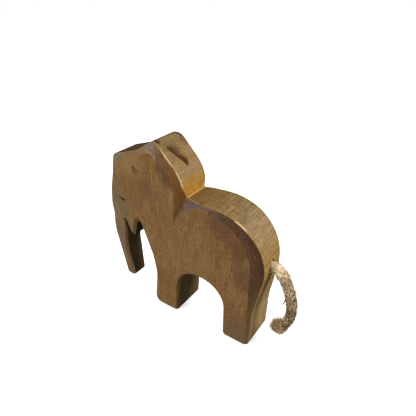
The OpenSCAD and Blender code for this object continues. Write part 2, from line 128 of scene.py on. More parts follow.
# Pairs of corners on the trunk's front and rear with as many points on their arcs, or on the runs after them
EVEN_ARCS = ((TRUNK, BEND), (TIP, TIP_REAR))
EVEN_RUNS = ((FOLD, SLIT_LOW), (CHEEK, BEND), (TRUNK, TIP_REAR))

# Spacing of the outline's points round an arc, along a run and where the form is finest, and the fewest and
# most steps on an arc
ARC_STEP, RUN_STEP, FINE_STEP = 0.8, 0.9, 0.3
ARC_FEWEST, ARC_MOST = 6, 70

# Least length that a rounding takes from an edge, the share of an edge that two roundings may take, the least
# turn of a corner, and the sine of a turn below which two edges count as one line
LEAST_TAKEN, EDGE_SHARE, LEAST_TURN, ONE_LINE = 0.8, 0.98, 1e-4, 0.05

# Where the knife left the flat side's border under the withers, and from there up to the ear's foot, in the
# part's mm; the first starts this far past the start of the rump's arc
WITHERS_BORDER = np.array([(28.2, 80.2), (24.2, 81.5), (21.1, 82.5), (17.5, 82.4), (12.6, 81), (9.2, 78.9),
                           (5.1, 75), (2.1, 71.6), (-0.8, 67.1)])
EAR_FOOT_BORDER = np.array([(-0.8, 67.1), (0.1, 73.6), (0.3, 80.1), (0.4, 86.2)])
WITHERS_PAST_RUMP = 40.3

# Kinds of face on the body, the columns of its skin on the rims of the flat side and the sawn edge, and how
# many points lie across the sawn edge between its rims
SIDE_FACES, BEVEL_FACES, EDGE_FACES = 0, 1, 2
FLAT_RIM, SAW_RIM = 2, 10
EDGE_POINTS = 61

# Points inside the flat sides: their reach along x and up, their spacing, and how far they keep from the
# border and the eye
SIDE_X, SIDE_UP = (-54, 54), (2, 110)
SIDE_STEP, BORDER_CLEAR, EYE_CLEAR = 3.0, 1.6, 1.2

# Middle line of the rope, mm behind and above its turning point: from its glued end, through the socket's
# mouth, down to its frayed end
ROPE_LINE = np.array([
    (-16.2, 0), (-12.6, 0), (-9.2, 0), (-6.4, 0), (-4.2, 0), (-2.4, -0.2), (-0.7, -0.8), (0.8, -1.9),
    (2.1, -3.3), (3.4, -5), (4.8, -7.2), (6.2, -9.8), (7.4, -12.6), (8.4, -15.4), (9.2, -18.4), (9.8, -21.4),
    (10, -24.4), (10, -27.4), (9.6, -30.4), (8.8, -33.4), (7.6, -36.2), (6.2, -38.8), (4.4, -41),
    (2.4, -42.6),
])
ROPE_D = 6
ROPE_STEP, ROPE_SIDES = 0.16, 54
STRANDS, LAY_LENGTH, YARN_TURN = 3, 12.5, 24
LUMP_WAVES = 30
GLUED_L = 12.5
PIVOT = np.array(frame["joints"][0]["pos_m"]) / MM

# Loose fibres: how many lie along the rope, at its end and at its root, the rings and sides of each, the
# range of its radius, and how much of that it loses to its tip
FUZZ_COUNT, FRAY_COUNT, ROOT_COUNT = 1100, 1500, 170
FIBRE_RINGS, FIBRE_SIDES = 6, 3
FIBRE_R, FIBRE_TAPER = (0.1, 0.22), 0.85

# Gloss of the oiled wood
OILED = 0.02


def unit(v):
    """Vectors brought to length 1 along the last axis."""
    return v / np.linalg.norm(v, axis=-1, keepdims=True)


def soft_step(low, high, x):
    """Share that rises from 0 at low to 1 at high with level ends: 3t^2 - 2t^3."""
    t = np.clip((x - low) / (high - low), 0, 1)
    return t * t * (3 - 2 * t)


def grid_faces(number):
    """Quads of a grid of point numbers, row by row."""
    a, b, c, d = number[:-1, :-1], number[:-1, 1:], number[1:, 1:], number[1:, :-1]
    return np.stack([a, b, c, d], axis=-1).reshape(-1, 4)


def tube_faces(rows, columns):
    """Quads of a tube of rows by columns, numbered row by row; the last column joins the first."""
    number = np.arange(rows * columns).reshape(rows, columns)
    return grid_faces(np.hstack([number, number[:, :1]]))


def put_mesh(name, points, faces, materials, slots=None, smooth=None, attributes=None):
    """A piece at the origin whose place is in its mesh: points in mm, faces as lists of point numbers."""
    mesh = bpy.data.meshes.new(name)
    mesh.from_pydata((np.asarray(points) * MM).tolist(), [], faces)
    for material in materials:
        mesh.materials.append(material)
    mesh.polygons.foreach_set("use_smooth", np.ones(len(faces), bool) if smooth is None else np.array(smooth))
    if slots is not None:
        mesh.polygons.foreach_set("material_index", np.array(slots, np.int32))
    for label, values in (attributes or {}).items():
        values = np.asarray(values, np.float32)
        kind, key = ("FLOAT", "value") if values.ndim == 1 else ("FLOAT_VECTOR", "vector")
        mesh.attributes.new(label, kind, "POINT").data.foreach_set(key, values.ravel())
    mesh.validate()
    mesh.update()
    piece = bpy.data.objects.new(name, mesh)
    bpy.context.scene.collection.objects.link(piece)
    return piece


# Camera
def photo_camera():
    """Camera at the photograph's place, turned by its azimuth and tipped down by its pitch."""
    data = bpy.data.cameras.new("photo_camera")
    data.sensor_width = SENSOR_W
    data.lens = CAMERA_LENS
    data.clip_start = NEAREST_SEEN
    camera = bpy.data.objects.new("photo_camera", data)
    camera.location = CAMERA_PLACE
    camera.rotation_euler = (math.radians(90 - CAMERA_PITCH), 0, math.radians(CAMERA_AZIMUTH))
    bpy.context.scene.collection.objects.link(camera)
    bpy.context.scene.camera = camera


# Shader helpers
class Wire:
    """One output in a node tree. Sums with it, on other wires or plain numbers, add Math nodes there."""

    def __init__(self, tree, socket):
        self.tree, self.socket = tree, socket

    def to(self, kind, inputs, output=0, **settings):
        """Output of a new node in the same tree."""
        return Wire(self.tree, add(self.tree, kind, inputs, **settings).outputs[output])

    def calculate(self, operation, *values):
        """Output of a Math node that does this operation on the values."""
        return self.to("Math", dict(enumerate(values)), operation=operation)

    def __add__(self, other):
        return self.calculate("ADD", self, other)

    def __sub__(self, other):
        return self.calculate("SUBTRACT", self, other)

    def __rsub__(self, other):
        return self.calculate("SUBTRACT", other, self)

    def __mul__(self, other):
        return self.calculate("MULTIPLY", self, other)

    def __truediv__(self, other):
        return self.calculate("DIVIDE", self, other)

    def __abs__(self):
        return self.calculate("ABSOLUTE", self)


def connect(tree, node, inputs):
    """A node with its inputs linked where a wire is given and set where a value is."""
    for key, value in inputs.items():
        if isinstance(value, Wire):
            tree.links.new(value.socket, node.inputs[key])
        else:
            node.inputs[key].default_value = value
    return node


def add(tree, kind, inputs=None, **settings):
    """A new shader node with its settings and inputs."""
    node = tree.nodes.new("ShaderNode" + kind)
    for label, value in settings.items():
        setattr(node, label, value)
    return connect(tree, node, inputs or {})


def paint(red, green, blue):
    """Colour as seen on a screen, 0 to 255, made linear."""
    c = np.array([red, green, blue]) / 255
    linear = np.where(c <= 0.04045, c / 12.92, ((c + 0.055) / 1.055) ** 2.4)
    return (*linear.tolist(), 1.0)


def highest(first, *others):
    """The highest of some values."""
    for other in others:
        first = first.calculate("MAXIMUM", first, other)
    return first


def mixed(share, first, second):
    """Two colours mixed by a share."""
    return share.to("Mix", {0: share, 6: first, 7: second}, 2, data_type="RGBA")


def dimmed(colour, by):
    """Colour, or place, times a plain value."""
    return colour.to("VectorMath", {0: colour, "Scale": by}, operation="SCALE")


def spread(value, low, high, to_low=0.0, to_high=1.0):
    """Value carried from one range to another, softly and without going past the ends."""
    inputs = {"Value": value, "From Min": low, "From Max": high, "To Min": to_low, "To Max": to_high}
    return value.to("MapRange", inputs, interpolation_type="SMOOTHSTEP")


def noise(place, scale=1.0, detail=3.0, rough=0.5):
    """Cloud noise from 0 to 1 at the coordinates."""
    inputs = {"Vector": place, "Scale": scale, "Detail": detail, "Roughness": rough}
    return place.to("TexNoise", inputs, "Fac")


def drawn_noise(place, by, detail=3.0, rough=0.5, turn=(0, 0, 0)):
    """Cloud noise at coordinates that are turned and then multiplied along each axis."""
    turned = place.to("VectorRotate", {"Vector": place, "Rotation": turn}, rotation_type="EULER_XYZ")
    return noise(place.to("VectorMath", {0: turned, 1: by}, operation="MULTIPLY"), 1.0, detail, rough)


def ramp(value, stops):
    """Colour by value, running straight between stops of (position, screen colour)."""
    node = add(value.tree, "ValToRGB", {"Fac": value})
    bar = node.color_ramp.elements
    for position, _ in stops[2:]:
        bar.new(position)
    for element, (position, colour) in zip(bar, sorted(stops)):
        element.position = position
        element.color = paint(*colour)
    return Wire(value.tree, node.outputs[0])


def attribute(tree, label, kind="Fac"):
    """One of the piece's own values, or places, by its label."""
    return Wire(tree, add(tree, "Attribute", attribute_name=label).outputs[kind])


def millimetres(tree):
    """Object coordinates in millimetres."""
    return dimmed(Wire(tree, add(tree, "TexCoord").outputs["Object"]), 1 / MM)


def seen_ray(tree):
    """1 for a ray from the camera, straight or by a mirror or glass, and 0 for light that bounces."""
    ray = add(tree, "LightPath").outputs
    return highest(*(Wire(tree, ray[f"Is {kind} Ray"]) for kind in ("Camera", "Glossy", "Transmission")))


def bump(height, distance, strength):
    """Normal of a surface raised by a height, whose full swing is the distance in millimetres."""
    return height.to("Bump", {"Height": height, "Distance": distance * MM, "Strength": strength})


def new_material(label, roughness, gloss=0.5):
    """A material with its node tree, its main shader, one plain roughness and one plain gloss."""
    material = bpy.data.materials.new(label)
    material.use_nodes = True
    tree = material.node_tree
    shader = tree.nodes["Principled BSDF"]
    connect(tree, shader, {"Roughness": roughness, "Specular IOR Level": gloss})
    return material, tree, shader


def shared_finish(label, takes, gives):
    """Turns a rule from wires to wires into a shader node group with named inputs and outputs, built once.
    The rule's name then places the group in a material, with that material's values, and gives the group's
    outputs."""
    def build(rule):
        group = bpy.data.node_groups.new(label, "ShaderNodeTree")
        for side, sockets in (("INPUT", takes), ("OUTPUT", gives)):
            for name, kind in sockets.items():
                group.interface.new_socket(name, in_out=side, socket_type="NodeSocket" + kind)
        entry, leave = group.nodes.new("NodeGroupInput"), group.nodes.new("NodeGroupOutput")
        results = rule(*(Wire(group, entry.outputs[name]) for name in takes))
        connect(group, leave, dict(zip(gives, results)))

        def place_in_material(place, **values):
            node = add(place.tree, "Group", node_tree=group)
            connect(place.tree, node, {"place": place, **values})
            return [Wire(place.tree, node.outputs[name]) for name in gives]
        return place_in_material
    return build


# Shared finishes
@shared_finish("wood_grain", dict(place="Vector", pale="Color", deep="Color", streaks="Float"),
               dict(colour="Color", height="Float"))
def wood_grain(place, pale, deep, streaks):
    """Upright grain: broad soft patches between two browns, smaller blotches, then fine streaks and short
    pores drawn out along the height."""
    broad = drawn_noise(place, (0.06, 0.05, 0.03))
    blotch = drawn_noise(place, (0.34, 0.34, 0.2), 4, 0.62)
    colour = mixed(spread(broad * 0.6 + blotch * 0.4, 0.38, 0.62), pale, deep)
    fine = drawn_noise(place, (0.9, 0.9, 0.09), 4, 0.6)
    pores = drawn_noise(place, (1.8, 1.8, 1.2), 2, 0.7)
    lines = fine * 0.3 + pores * 0.7
    return dimmed(colour, (lines - 0.5) * streaks + 1.0), lines


@shared_finish("growth_lines", dict(place="Vector", colour="Color", line="Color", strength="Float"),
               dict(colour="Color"))
def growth_lines(place, colour, line, strength):
    """Growth rings cut lengthwise: thin, broken upright lines where a wavering band pattern peaks."""
    across = place.to("SeparateXYZ", {0: place})
    ring = across * 0.1 + drawn_noise(place, (0.06, 0.03, 0.035)) * 1.5
    peak = 1.0 - abs(ring.calculate("FRACT", ring) * 2.0 - 1.0)
    broken = spread(drawn_noise(place, (0.15, 0.05, 0.06), 2), 0.42, 0.58)
    return [mixed(spread(peak, 0.9, 1.0) * broken * strength, colour, line)]


@shared_finish("fine_scratches", dict(place="Vector", colour="Color", scratch="Color", strength="Float"),
               dict(colour="Color"))
def fine_scratches(place, colour, scratch, strength):
    """Hairline scratches: noise drawn out in three slanting directions, kept at its peaks in patches."""
    marks = []
    for slant, patch in ((0.7, 0.11), (-1.0, 0.13), (0.1, 0.09)):
        peak = spread(drawn_noise(place, (0.16, 0.16, 2.6), 1, turn=(0.0, slant, 0.0)), 0.7, 0.78)
        marks.append(peak * spread(noise(place, patch, 1), 0.5, 0.6))
    return [mixed(highest(*marks) * strength, colour, scratch)]


@shared_finish("worn_and_highlit_edge", dict(place="Vector", colour="Color", wear_and_highlight="Float", thin="Color", bare_and_highlight="Color"),
               dict(colour="Color"))
def worn_and_highlit_edge(place, colour, wear_and_highlight, thin, bare_and_highlight):
    """Rubbed edges with painted highlights: the piece's wear and highlight value, frayed by a fine noise,
    thins the finish's colour and then turns it to the pale colour that stands both for bare wood and for a
    painted highlight.
    """
    rubbed_and_lit = (noise(place, 1.1, 3, 0.6) - 0.5) * 0.8 + wear_and_highlight
    thinned = mixed(spread(rubbed_and_lit, 0.15, 0.5), colour, thin)
    return [mixed(spread(rubbed_and_lit, 0.5, 0.95), thinned, bare_and_highlight)]


@shared_finish("pale_specks", dict(place="Vector", colour="Color", speck="Color", density="Float"),
               dict(colour="Color", mask="Float"))
def pale_specks(place, colour, speck, density):
    """Fine pale dents and dust: small round spots at scattered cell centres, in a share of the cells."""
    cells = add(place.tree, "TexVoronoi", {"Vector": place, "Scale": 0.3}).outputs
    distance, tint = (Wire(place.tree, cells[name]) for name in ("Distance", "Color"))
    chance = tint.to("SeparateColor", {0: tint})
    mask = spread(distance, 0.04, 0.1, 1.0, 0.0) * chance.calculate("LESS_THAN", chance, density)
    return mixed(mask * 0.55, colour, speck), mask


@shared_finish("stain_and_painted_light", dict(place="Vector", colour="Color", tint="Color", centre="Vector", radius="Float",
                             strength="Float"), dict(colour="Color"))
def stain_and_painted_light(place, colour, tint, centre, radius, strength):
    """A round patch of tint, used for stains and for painted light: full inside a wavering round edge, fading
    out at its radius from the centre.
    """
    away = place.to("VectorMath", {0: place, 1: centre}, "Value", operation="DISTANCE")
    waver = noise(place, 0.35) * 0.9 - 0.45
    return [mixed(spread(away / radius + waver, 0.25, 1.0, 1.0, 0.0) * strength, colour, tint)]


def stains_and_painted_light(place, colour, rows):
    """Colour with round patches on it, stains and painted light, from rows of (screen colour, centre, radius,
    strength).
    """
    for tint, centre, radius, strength in rows:
        values = dict(tint=paint(*tint), centre=centre, radius=radius, strength=strength)
        colour, = stain_and_painted_light(place, colour=colour, **values)
    return colour


def handled(place, colour, speck, density, thin, bare_and_highlight):
    """Colour with pale specks on it and its edges rubbed thin and bare, part of that a painted highlight,
    with the mask of the specks.
    """
    colour, dents = pale_specks(place, colour=colour, speck=paint(*speck), density=density)
    wear_and_highlight = attribute(place.tree, "wear_and_highlight")
    colour, = worn_and_highlit_edge(place, colour=colour, wear_and_highlight=wear_and_highlight, thin=paint(*thin), bare_and_highlight=paint(*bare_and_highlight))
    return colour, dents


# Outline of the figure
def inward(v):
    """Direction to the left of a direction of travel in the plane of the outline."""
    return np.stack([-v[:, 1], v[:, 0]], axis=1)


def corner_facts(corner, rounding):
    """For each corner: arriving direction, leaving direction, signed turn, and the length its rounding
    takes from both edges, which is the rounding times the tangent of half the turn, cut down where two
    roundings share a short edge."""
    edge = np.roll(corner, -1, 0) - corner
    leaving = unit(edge)
    arriving = np.roll(leaving, 1, 0)
    turn = np.arctan2((inward(arriving) * leaving).sum(1), (arriving * leaving).sum(1))
    want = np.where(rounding == 0, 0, np.maximum(LEAST_TAKEN, rounding * np.tan(np.abs(turn) / 2)))
    room = EDGE_SHARE * np.linalg.norm(edge, axis=1) / np.maximum(want + np.roll(want, -1), 1e-3)
    room = np.minimum(1, room)
    return arriving, leaving, turn, want * np.minimum(room, np.roll(room, 1))


def walk(corner, facts, index, on_arc, on_run):
    """Points of the rounded outline: round each corner's arc by a share of its turn, then along the
    straight run to the next arc. An arc starts at its corner less the taken length and bends by its turn
    over the arc."""
    arriving, leaving, turn, taken = facts
    half = np.maximum(np.abs(turn), LEAST_TURN) / 2
    radius = taken / np.tan(half)
    start, end = corner - arriving * taken[:, None], corner + leaving * taken[:, None]
    bend = (2 * half[index] * on_arc)[:, None]
    side = np.where(turn < 0, -1.0, 1.0)[index, None]
    sweep = np.sin(bend) * arriving[index] + side * (1 - np.cos(bend)) * inward(arriving)[index]
    arc = start[index] + radius[index, None] * sweep
    run = end[index] + on_run[:, None] * (np.roll(start, -1, 0) - end)[index]
    return np.where(on_run[:, None] > 0, run, arc)


def eased_trunk(half, index):
    """Half thickness with the trunk's flank made to leave the flat side without a crease: the recess is
    averaged along the trunk and rises softly from the fold, and the rear rim takes it from the front one,
    rung by rung."""
    averaged, rise = 15, 12
    front, rear, tip = (np.argmax(index == c) for c in (FOLD, SLIT, TIP_REAR))
    rung = np.arange(rear - tip + 1)
    recess = np.pad(BOARD_T / 2 - half[front + rung], averaged // 2, mode="edge")
    window = np.hanning(averaged)
    recess = np.convolve(recess, window / window.sum(), "valid") * soft_step(0, rise, rung)
    half[front + rung] = half[rear - rung] = BOARD_T / 2 - recess
    return half


def smooth_line(points, step=None, count=None):
    """Curve through all the points, a cubic between each two that leaves them along their neighbours'
    chord, walked at equal steps; with the distance walked."""
    ends = np.vstack([2 * points[0] - points[1], points, 2 * points[-1] - points[-2]])
    fine_steps = 24
    t = np.linspace(0, 1, fine_steps, endpoint=False)[None, :, None]
    a, b, c, d = (ends[k:len(ends) - 3 + k, None] for k in range(4))
    square, cube = 2 * a - 5 * b + 4 * c - d, 3 * b - a - 3 * c + d
    fine = 0.5 * (2 * b + (c - a) * t + square * t ** 2 + cube * t ** 3)
    fine = np.vstack([fine.reshape(-1, points.shape[1]), points[-1:]])
    walked = np.concatenate([[0], np.cumsum(np.linalg.norm(np.diff(fine, axis=0), axis=1))])
    at = np.linspace(0, walked[-1], count or round(walked[-1] / step) + 1)
    return np.stack([np.interp(at, walked, column) for column in fine.T], axis=1), at


def flat_corners(corner, facts, before, after):
    """Corners of the flat side: where the edges meet once each is moved in by the width of its bevel."""
    arriving, leaving = facts[:2]
    across = (arriving * inward(leaving)).sum(1)
    slide = after - before * (arriving * leaving).sum(1)
    slide = slide / np.where(np.abs(across) < ONE_LINE, np.inf, across)
    return corner + inward(arriving) * before[:, None] + arriving * slide[:, None]


def spaced_points(corner, rounding, facts):
    """For points all round the outline: corner number, share of the way round that corner's arc, and share
    of the way along the run after it."""
    turn, taken = facts[2:]
    corners = np.arange(len(corner))
    arc_l = taken / np.tan(np.maximum(np.abs(turn), LEAST_TURN) / 2) * np.abs(turn)
    arc_step = np.where(np.isin(corners, [NECK, EAR, CROWN, BROW]), FINE_STEP, ARC_STEP)
    arcs = np.where(rounding > 0, np.clip(np.ceil(arc_l / arc_step), ARC_FEWEST, ARC_MOST) + 1, 1).astype(int)
    gap = np.linalg.norm(np.roll(corner, -1, 0) - corner, axis=1) - taken - np.roll(taken, -1)
    runs = np.maximum(np.ceil(gap / np.where(corners == EAR, FINE_STEP, RUN_STEP)) - 1, 0).astype(int)
    for counts, pairs in ((arcs, EVEN_ARCS), (runs, EVEN_RUNS)):
        for pair in pairs:
            counts[list(pair)] = counts[list(pair)].max()
    count = arcs + runs
    index = np.repeat(corners, count)
    local = np.arange(index.size) - np.repeat(np.cumsum(count) - count, count)
    on_arc = np.minimum(local / np.maximum(arcs[index] - 1, 1), 1)
    on_run = np.clip((local - arcs[index] + 1) / (runs[index] + 1), 0, 1)
    return index, on_arc, on_run


def knife_border(flat_line, index, on_run, along, mark):
    """Border of the flat side with the knife's own curves put in under the withers and at the ear's foot."""
    neck = np.flatnonzero((index == NECK) & (on_run == 0))
    tip = neck[len(neck) // 2]
    first = np.argmax(along > mark[RUMP] + WITHERS_PAST_RUMP)
    last = np.argmax(index == EAR_FOOT) - 1
    flat_line[first:tip + 1] = smooth_line(WITHERS_BORDER, count=tip + 1 - first)[0]
    flat_line[tip:last + 1] = smooth_line(EAR_FOOT_BORDER, count=last + 1 - tip)[0]
    return flat_line


def figure_outline():
    """For points round the outline: sawn line, flat line inside the bevels, bevel depth, half thickness,
    corner number and way walked; with the way walked to each corner and where the ear starts."""
    corner, rounding, recess, flat_rounding = OUTLINE[:, :2], OUTLINE[:, 2], OUTLINE[:, 7], OUTLINE[:, 8]
    before, after = OUTLINE[:, 3:5], OUTLINE[:, 5:7]
    saw = corner_facts(corner, rounding)
    flat_corner = flat_corners(corner, saw, before[:, 0], after[:, 0])
    flat = corner_facts(flat_corner, flat_rounding)
    index, on_arc, on_run = spaced_points(corner, rounding, saw)
    following = (index + 1) % len(corner)
    depth = np.where(on_run > 0, after[index, 1] + on_run * (before[following, 1] - after[index, 1]),
                     before[index, 1] + on_arc * (after[index, 1] - before[index, 1]))
    half = BOARD_T / 2 - recess[index] - on_run * (recess[following] - recess[index])
    saw_line = walk(corner, saw, index, on_arc, on_run)
    middle = [(saw_line[:, 0].min() + saw_line[:, 0].max()) / 2, 0]
    flat_line = walk(flat_corner, flat, index, on_arc, on_run) - middle
    step = np.linalg.norm(np.roll(saw_line, -1, 0) - saw_line, axis=1)
    along = np.cumsum(step) - step
    mark = [along[np.argmax(index == c)] for c in range(len(corner))]
    flat_line = knife_border(flat_line, index, on_run, along, mark)
    leaving = saw[1]
    return {"saw": saw_line - middle, "flat": flat_line, "depth": depth, "half": eased_trunk(half, index),
            "index": index, "along": along, "length": step.sum(), "mark": mark, "middle": middle[0],
            "ear_run": leaving[EAR], "ear": corner[EAR] - middle}


def by_place(line, rows):
    """Value round the outline, straight between rows of (corner, mm past its arc's start, value)."""
    places = [line["mark"][corner] + past for corner, past, _ in rows]
    return np.interp(line["along"], places, [value for _, _, value in rows])


def curve(first, control, last, count=5):
    """Points on the parabola from first to last that leaves and arrives along the lines through control."""
    t = np.linspace(0, 1, count)[None, :, None]
    return (1 - t) ** 2 * first[:, None] + 2 * t * (1 - t) * control[:, None] + t ** 2 * last[:, None]


def straight(first, last, count):
    """Points spaced evenly between first and last, without the two ends."""
    t = np.linspace(0, 1, count + 2)[None, 1:-1, None]
    return first[:, None] + t * (last - first)[:, None]


# Skin of the body
def cut_depth(t, y):
    """Depth of the knife cut between the ears at a place t up from its pointed foot and y off the middle, and
    how much painted shade it gets there. The crease runs from the foot up towards the left ear, deepest two
    thirds of the way; the left wall is steep, and the right one falls to the crease with a power of the way.
    The painted shade is full near the foot and fades across the right wall above."""
    crease = 0.4 - 0.38 * t
    lip = 0.3 - 0.44 * t
    edge = np.interp(t, [0, 1.5, 3, 4.6, 7.4, 9.8, 11.8, 13.8, 15.2],
                     [0.5, 2.4, 3.7, 4.3, 4.5, 3.8, 2.2, -1.2, -4.9])
    deepest = np.interp(t, [0, 1.5, 5, 8.5, 10.8, 13, 14.8], [0, 1.1, 2.6, CUT_D, 3.0, 1.5, 0])
    right = np.clip((edge - y) / np.maximum(edge - crease, 0.01), 0, 1) ** 1.2
    left = np.clip((y - lip) / np.maximum(crease - lip, 0.01), 0, 1)
    way = np.minimum(right, left)
    painted_shade = np.clip(way * np.interp(t, [0, 3, 8, 13.4, 15], [6, 4, 1.5, 1.2, 0]), 0, 1)
    return np.where(t > 0, deepest * way, 0), np.where(t > 0, painted_shade, 0)


def bevel_ease(line):
    """Rounding where the bevel meets the flat side, round the outline: sharp on the neck and head, soft
    round the rump and down the hind leg."""
    return by_place(line, [
        (HIND_HEEL, 0, 1.0), (HOCK, 0, 1.6), (THIGH, 0, 2.6), (RUMP, 24, 2.6), (RUMP, 36, 0.9),
        (BACK, 0, 0.5), (NECK, 0, 0.35), (CROWN, 0, 0.5), (FACE, 0, FILLET),
    ])


def far_depth(line):
    """Depth of the right side's bevels: as on the left, but shallower on the rump, ear and forehead and
    deeper at the brow."""
    return line["depth"] - by_place(line, [
        (RUMP, 0, 0), (RUMP, 12, 0.6), (RUMP, 30, 0.6), (RUMP, 40, 0), (NECK, 1, 0), (EAR, 0, 0.8),
        (CROWN, -2, 1.0), (CROWN, 4, 0.6), (DIP, 0, 2.5), (DIP, 10, 1.0), (BROW, 0, -0.5), (FACE, 0, 0),
    ])


def bevel_profile(line, depth):
    """The left side's part of each profile: from the flat side over a bevel of the given depth onto the
    sawn edge. The rounding into the flat side is kept under half the radius of its border's outward bends
    close by."""
    round_share, ease_share, bend_share, near_slope = 0.3, 0.4, 0.5, 0.1
    y_left = -line["half"]
    flat = np.stack([line["flat"][:, 0], y_left, line["flat"][:, 1]], axis=1)
    saw = np.stack([line["saw"][:, 0], y_left + depth, line["saw"][:, 1]], axis=1)
    slope = saw - flat
    length = np.linalg.norm(slope, axis=1, keepdims=True)
    slope = slope / length
    round_off = np.minimum(FILLET, round_share * length)
    ease = np.minimum(bevel_ease(line)[:, None], ease_share * length)
    ahead, behind = np.roll(line["flat"], -1, 0), np.roll(line["flat"], 1, 0)
    leaving = unit(ahead - line["flat"])
    arriving = np.roll(leaving, 1, 0)
    span = np.linalg.norm(ahead - behind, axis=1) / 2
    tightest = bend_share * span / np.maximum((inward(arriving) * leaving).sum(1), 1e-6)
    near = np.abs(line["along"][:, None] - line["along"][None, :])
    round_in = np.minimum(ease, (tightest[None, :] + near_slope * near).min(1)[:, None])
    into = inward(unit(arriving + leaving))
    into = np.stack([into[:, 0], np.zeros(len(into)), into[:, 1]], axis=1)
    level = np.array([0, 1, 0])
    return np.concatenate([
        curve(flat + into * round_in, flat, flat + slope * ease),
        straight(flat + slope * ease, saw - slope * round_off, 3),
        curve(saw - slope * round_off, saw, saw + level * round_off),
    ], axis=1)


def body_strip(line):
    """Skin of the edge, from the flat left side over its bevel, the sawn edge and the right bevel to the
    flat right side. Each profile is straight between four lines, and a parabola rounds it off where it
    crosses them."""
    left = bevel_profile(line, line["depth"])
    right = bevel_profile(line, far_depth(line))[:, ::-1] * [1, -1, 1]
    return np.concatenate([left, straight(left[:, -1], right[:, 0], EDGE_POINTS), right], axis=1)


def carve_edge(skin, line):
    """The knife cut between the ears and the tail's socket, sunk into the sawn edge: the cut along the ear's
    inward direction, the socket level into the rump. Gives back the painted shade of the cut."""
    run = line["ear_run"]
    foot = line["ear"] + run * (CUT_FOOT_H - line["ear"][1]) / run[1]
    along = (skin[..., 0] - foot[0]) * run[0] + (skin[..., 2] - foot[1]) * run[1]
    on_ear = (line["index"] >= EAR) & (line["index"] <= CROWN)
    depth, painted_shade = np.where(on_ear[:, None], cut_depth(along, skin[..., 1]), 0)
    skin[..., 0] -= depth * run[1]
    skin[..., 2] += depth * run[0]
    on_rear = (line["index"] >= HOCK) & (line["index"] <= RUMP)
    away = np.hypot(skin[..., 1], skin[..., 2] - PIVOT[2])
    lip_out, lip_in = 0.12, 0.35
    sunk = SOCKET_SHOWN * soft_step(SOCKET_R + lip_out, SOCKET_R - lip_in, away)
    skin[..., 0] -= np.where(on_rear[:, None], sunk, 0)
    return painted_shade


def eye_patch():
    """Points on and round the eye, u along the slit and v across it, with the depth of a boat-shaped cut
    that is slim at its front and blunt at its rear."""
    reach, rows, columns = 0.62, 41, 21
    front_w, slim, blunt, hollow = 0.25, 2, 6, 0.6
    along, across = np.linspace(-reach, reach, rows) * EYE_L, np.linspace(-1, 1, columns) * EYE_W
    u, v = np.meshgrid(along, across, indexing="ij")
    way = np.clip(u / EYE_L + 0.5, 0, 1)
    ends = np.sqrt(1 - np.abs(2 * way - 1) ** np.where(way < 0.5, slim, blunt))
    wide = EYE_W * (front_w + (1 - front_w) * way) * ends
    depth = EYE_D * np.maximum(1 - (2 * v / (wide + 1e-6)) ** 2, 0) ** hollow
    slope = math.radians(EYE_SLOPE)
    x = u * math.cos(slope) + v * math.sin(slope)
    z = -u * math.sin(slope) + v * math.cos(slope)
    return np.stack([x.ravel(), z.ravel()], axis=1), depth.ravel()


def filled_flat(border, inner):
    """Triangles between a border and the points inside it, by constrained Delaunay division."""
    points = np.vstack([border, inner])
    found = delaunay_2d_cdt(points.tolist(), [], [list(range(len(border)))], 1, 1e-6, True)
    source = np.array([ids[0] for ids in found[3]])
    within = np.array([bool(ids) for ids in found[5]])
    return source[np.array(found[2])[within]]


def inside_points(border, middle):
    """Points inside a flat side and how far each is sunk: the eye's own, then a wide grid where it is clear
    of them and of the border."""
    eye, depth = eye_patch()
    eye = eye + [EYE_X - middle, EYE_H]
    across, up = np.arange(*SIDE_X, SIDE_STEP), np.arange(*SIDE_UP, SIDE_STEP)
    grid = np.stack(np.meshgrid(across, up), axis=-1).reshape(-1, 2)
    clear = np.linalg.norm(grid[:, None] - border[None], axis=2).min(1) > BORDER_CLEAR
    clear &= np.linalg.norm(grid[:, None] - eye[None], axis=2).min(1) > EYE_CLEAR
    return np.vstack([eye, grid[clear]]), np.append(depth, np.zeros(clear.sum()))


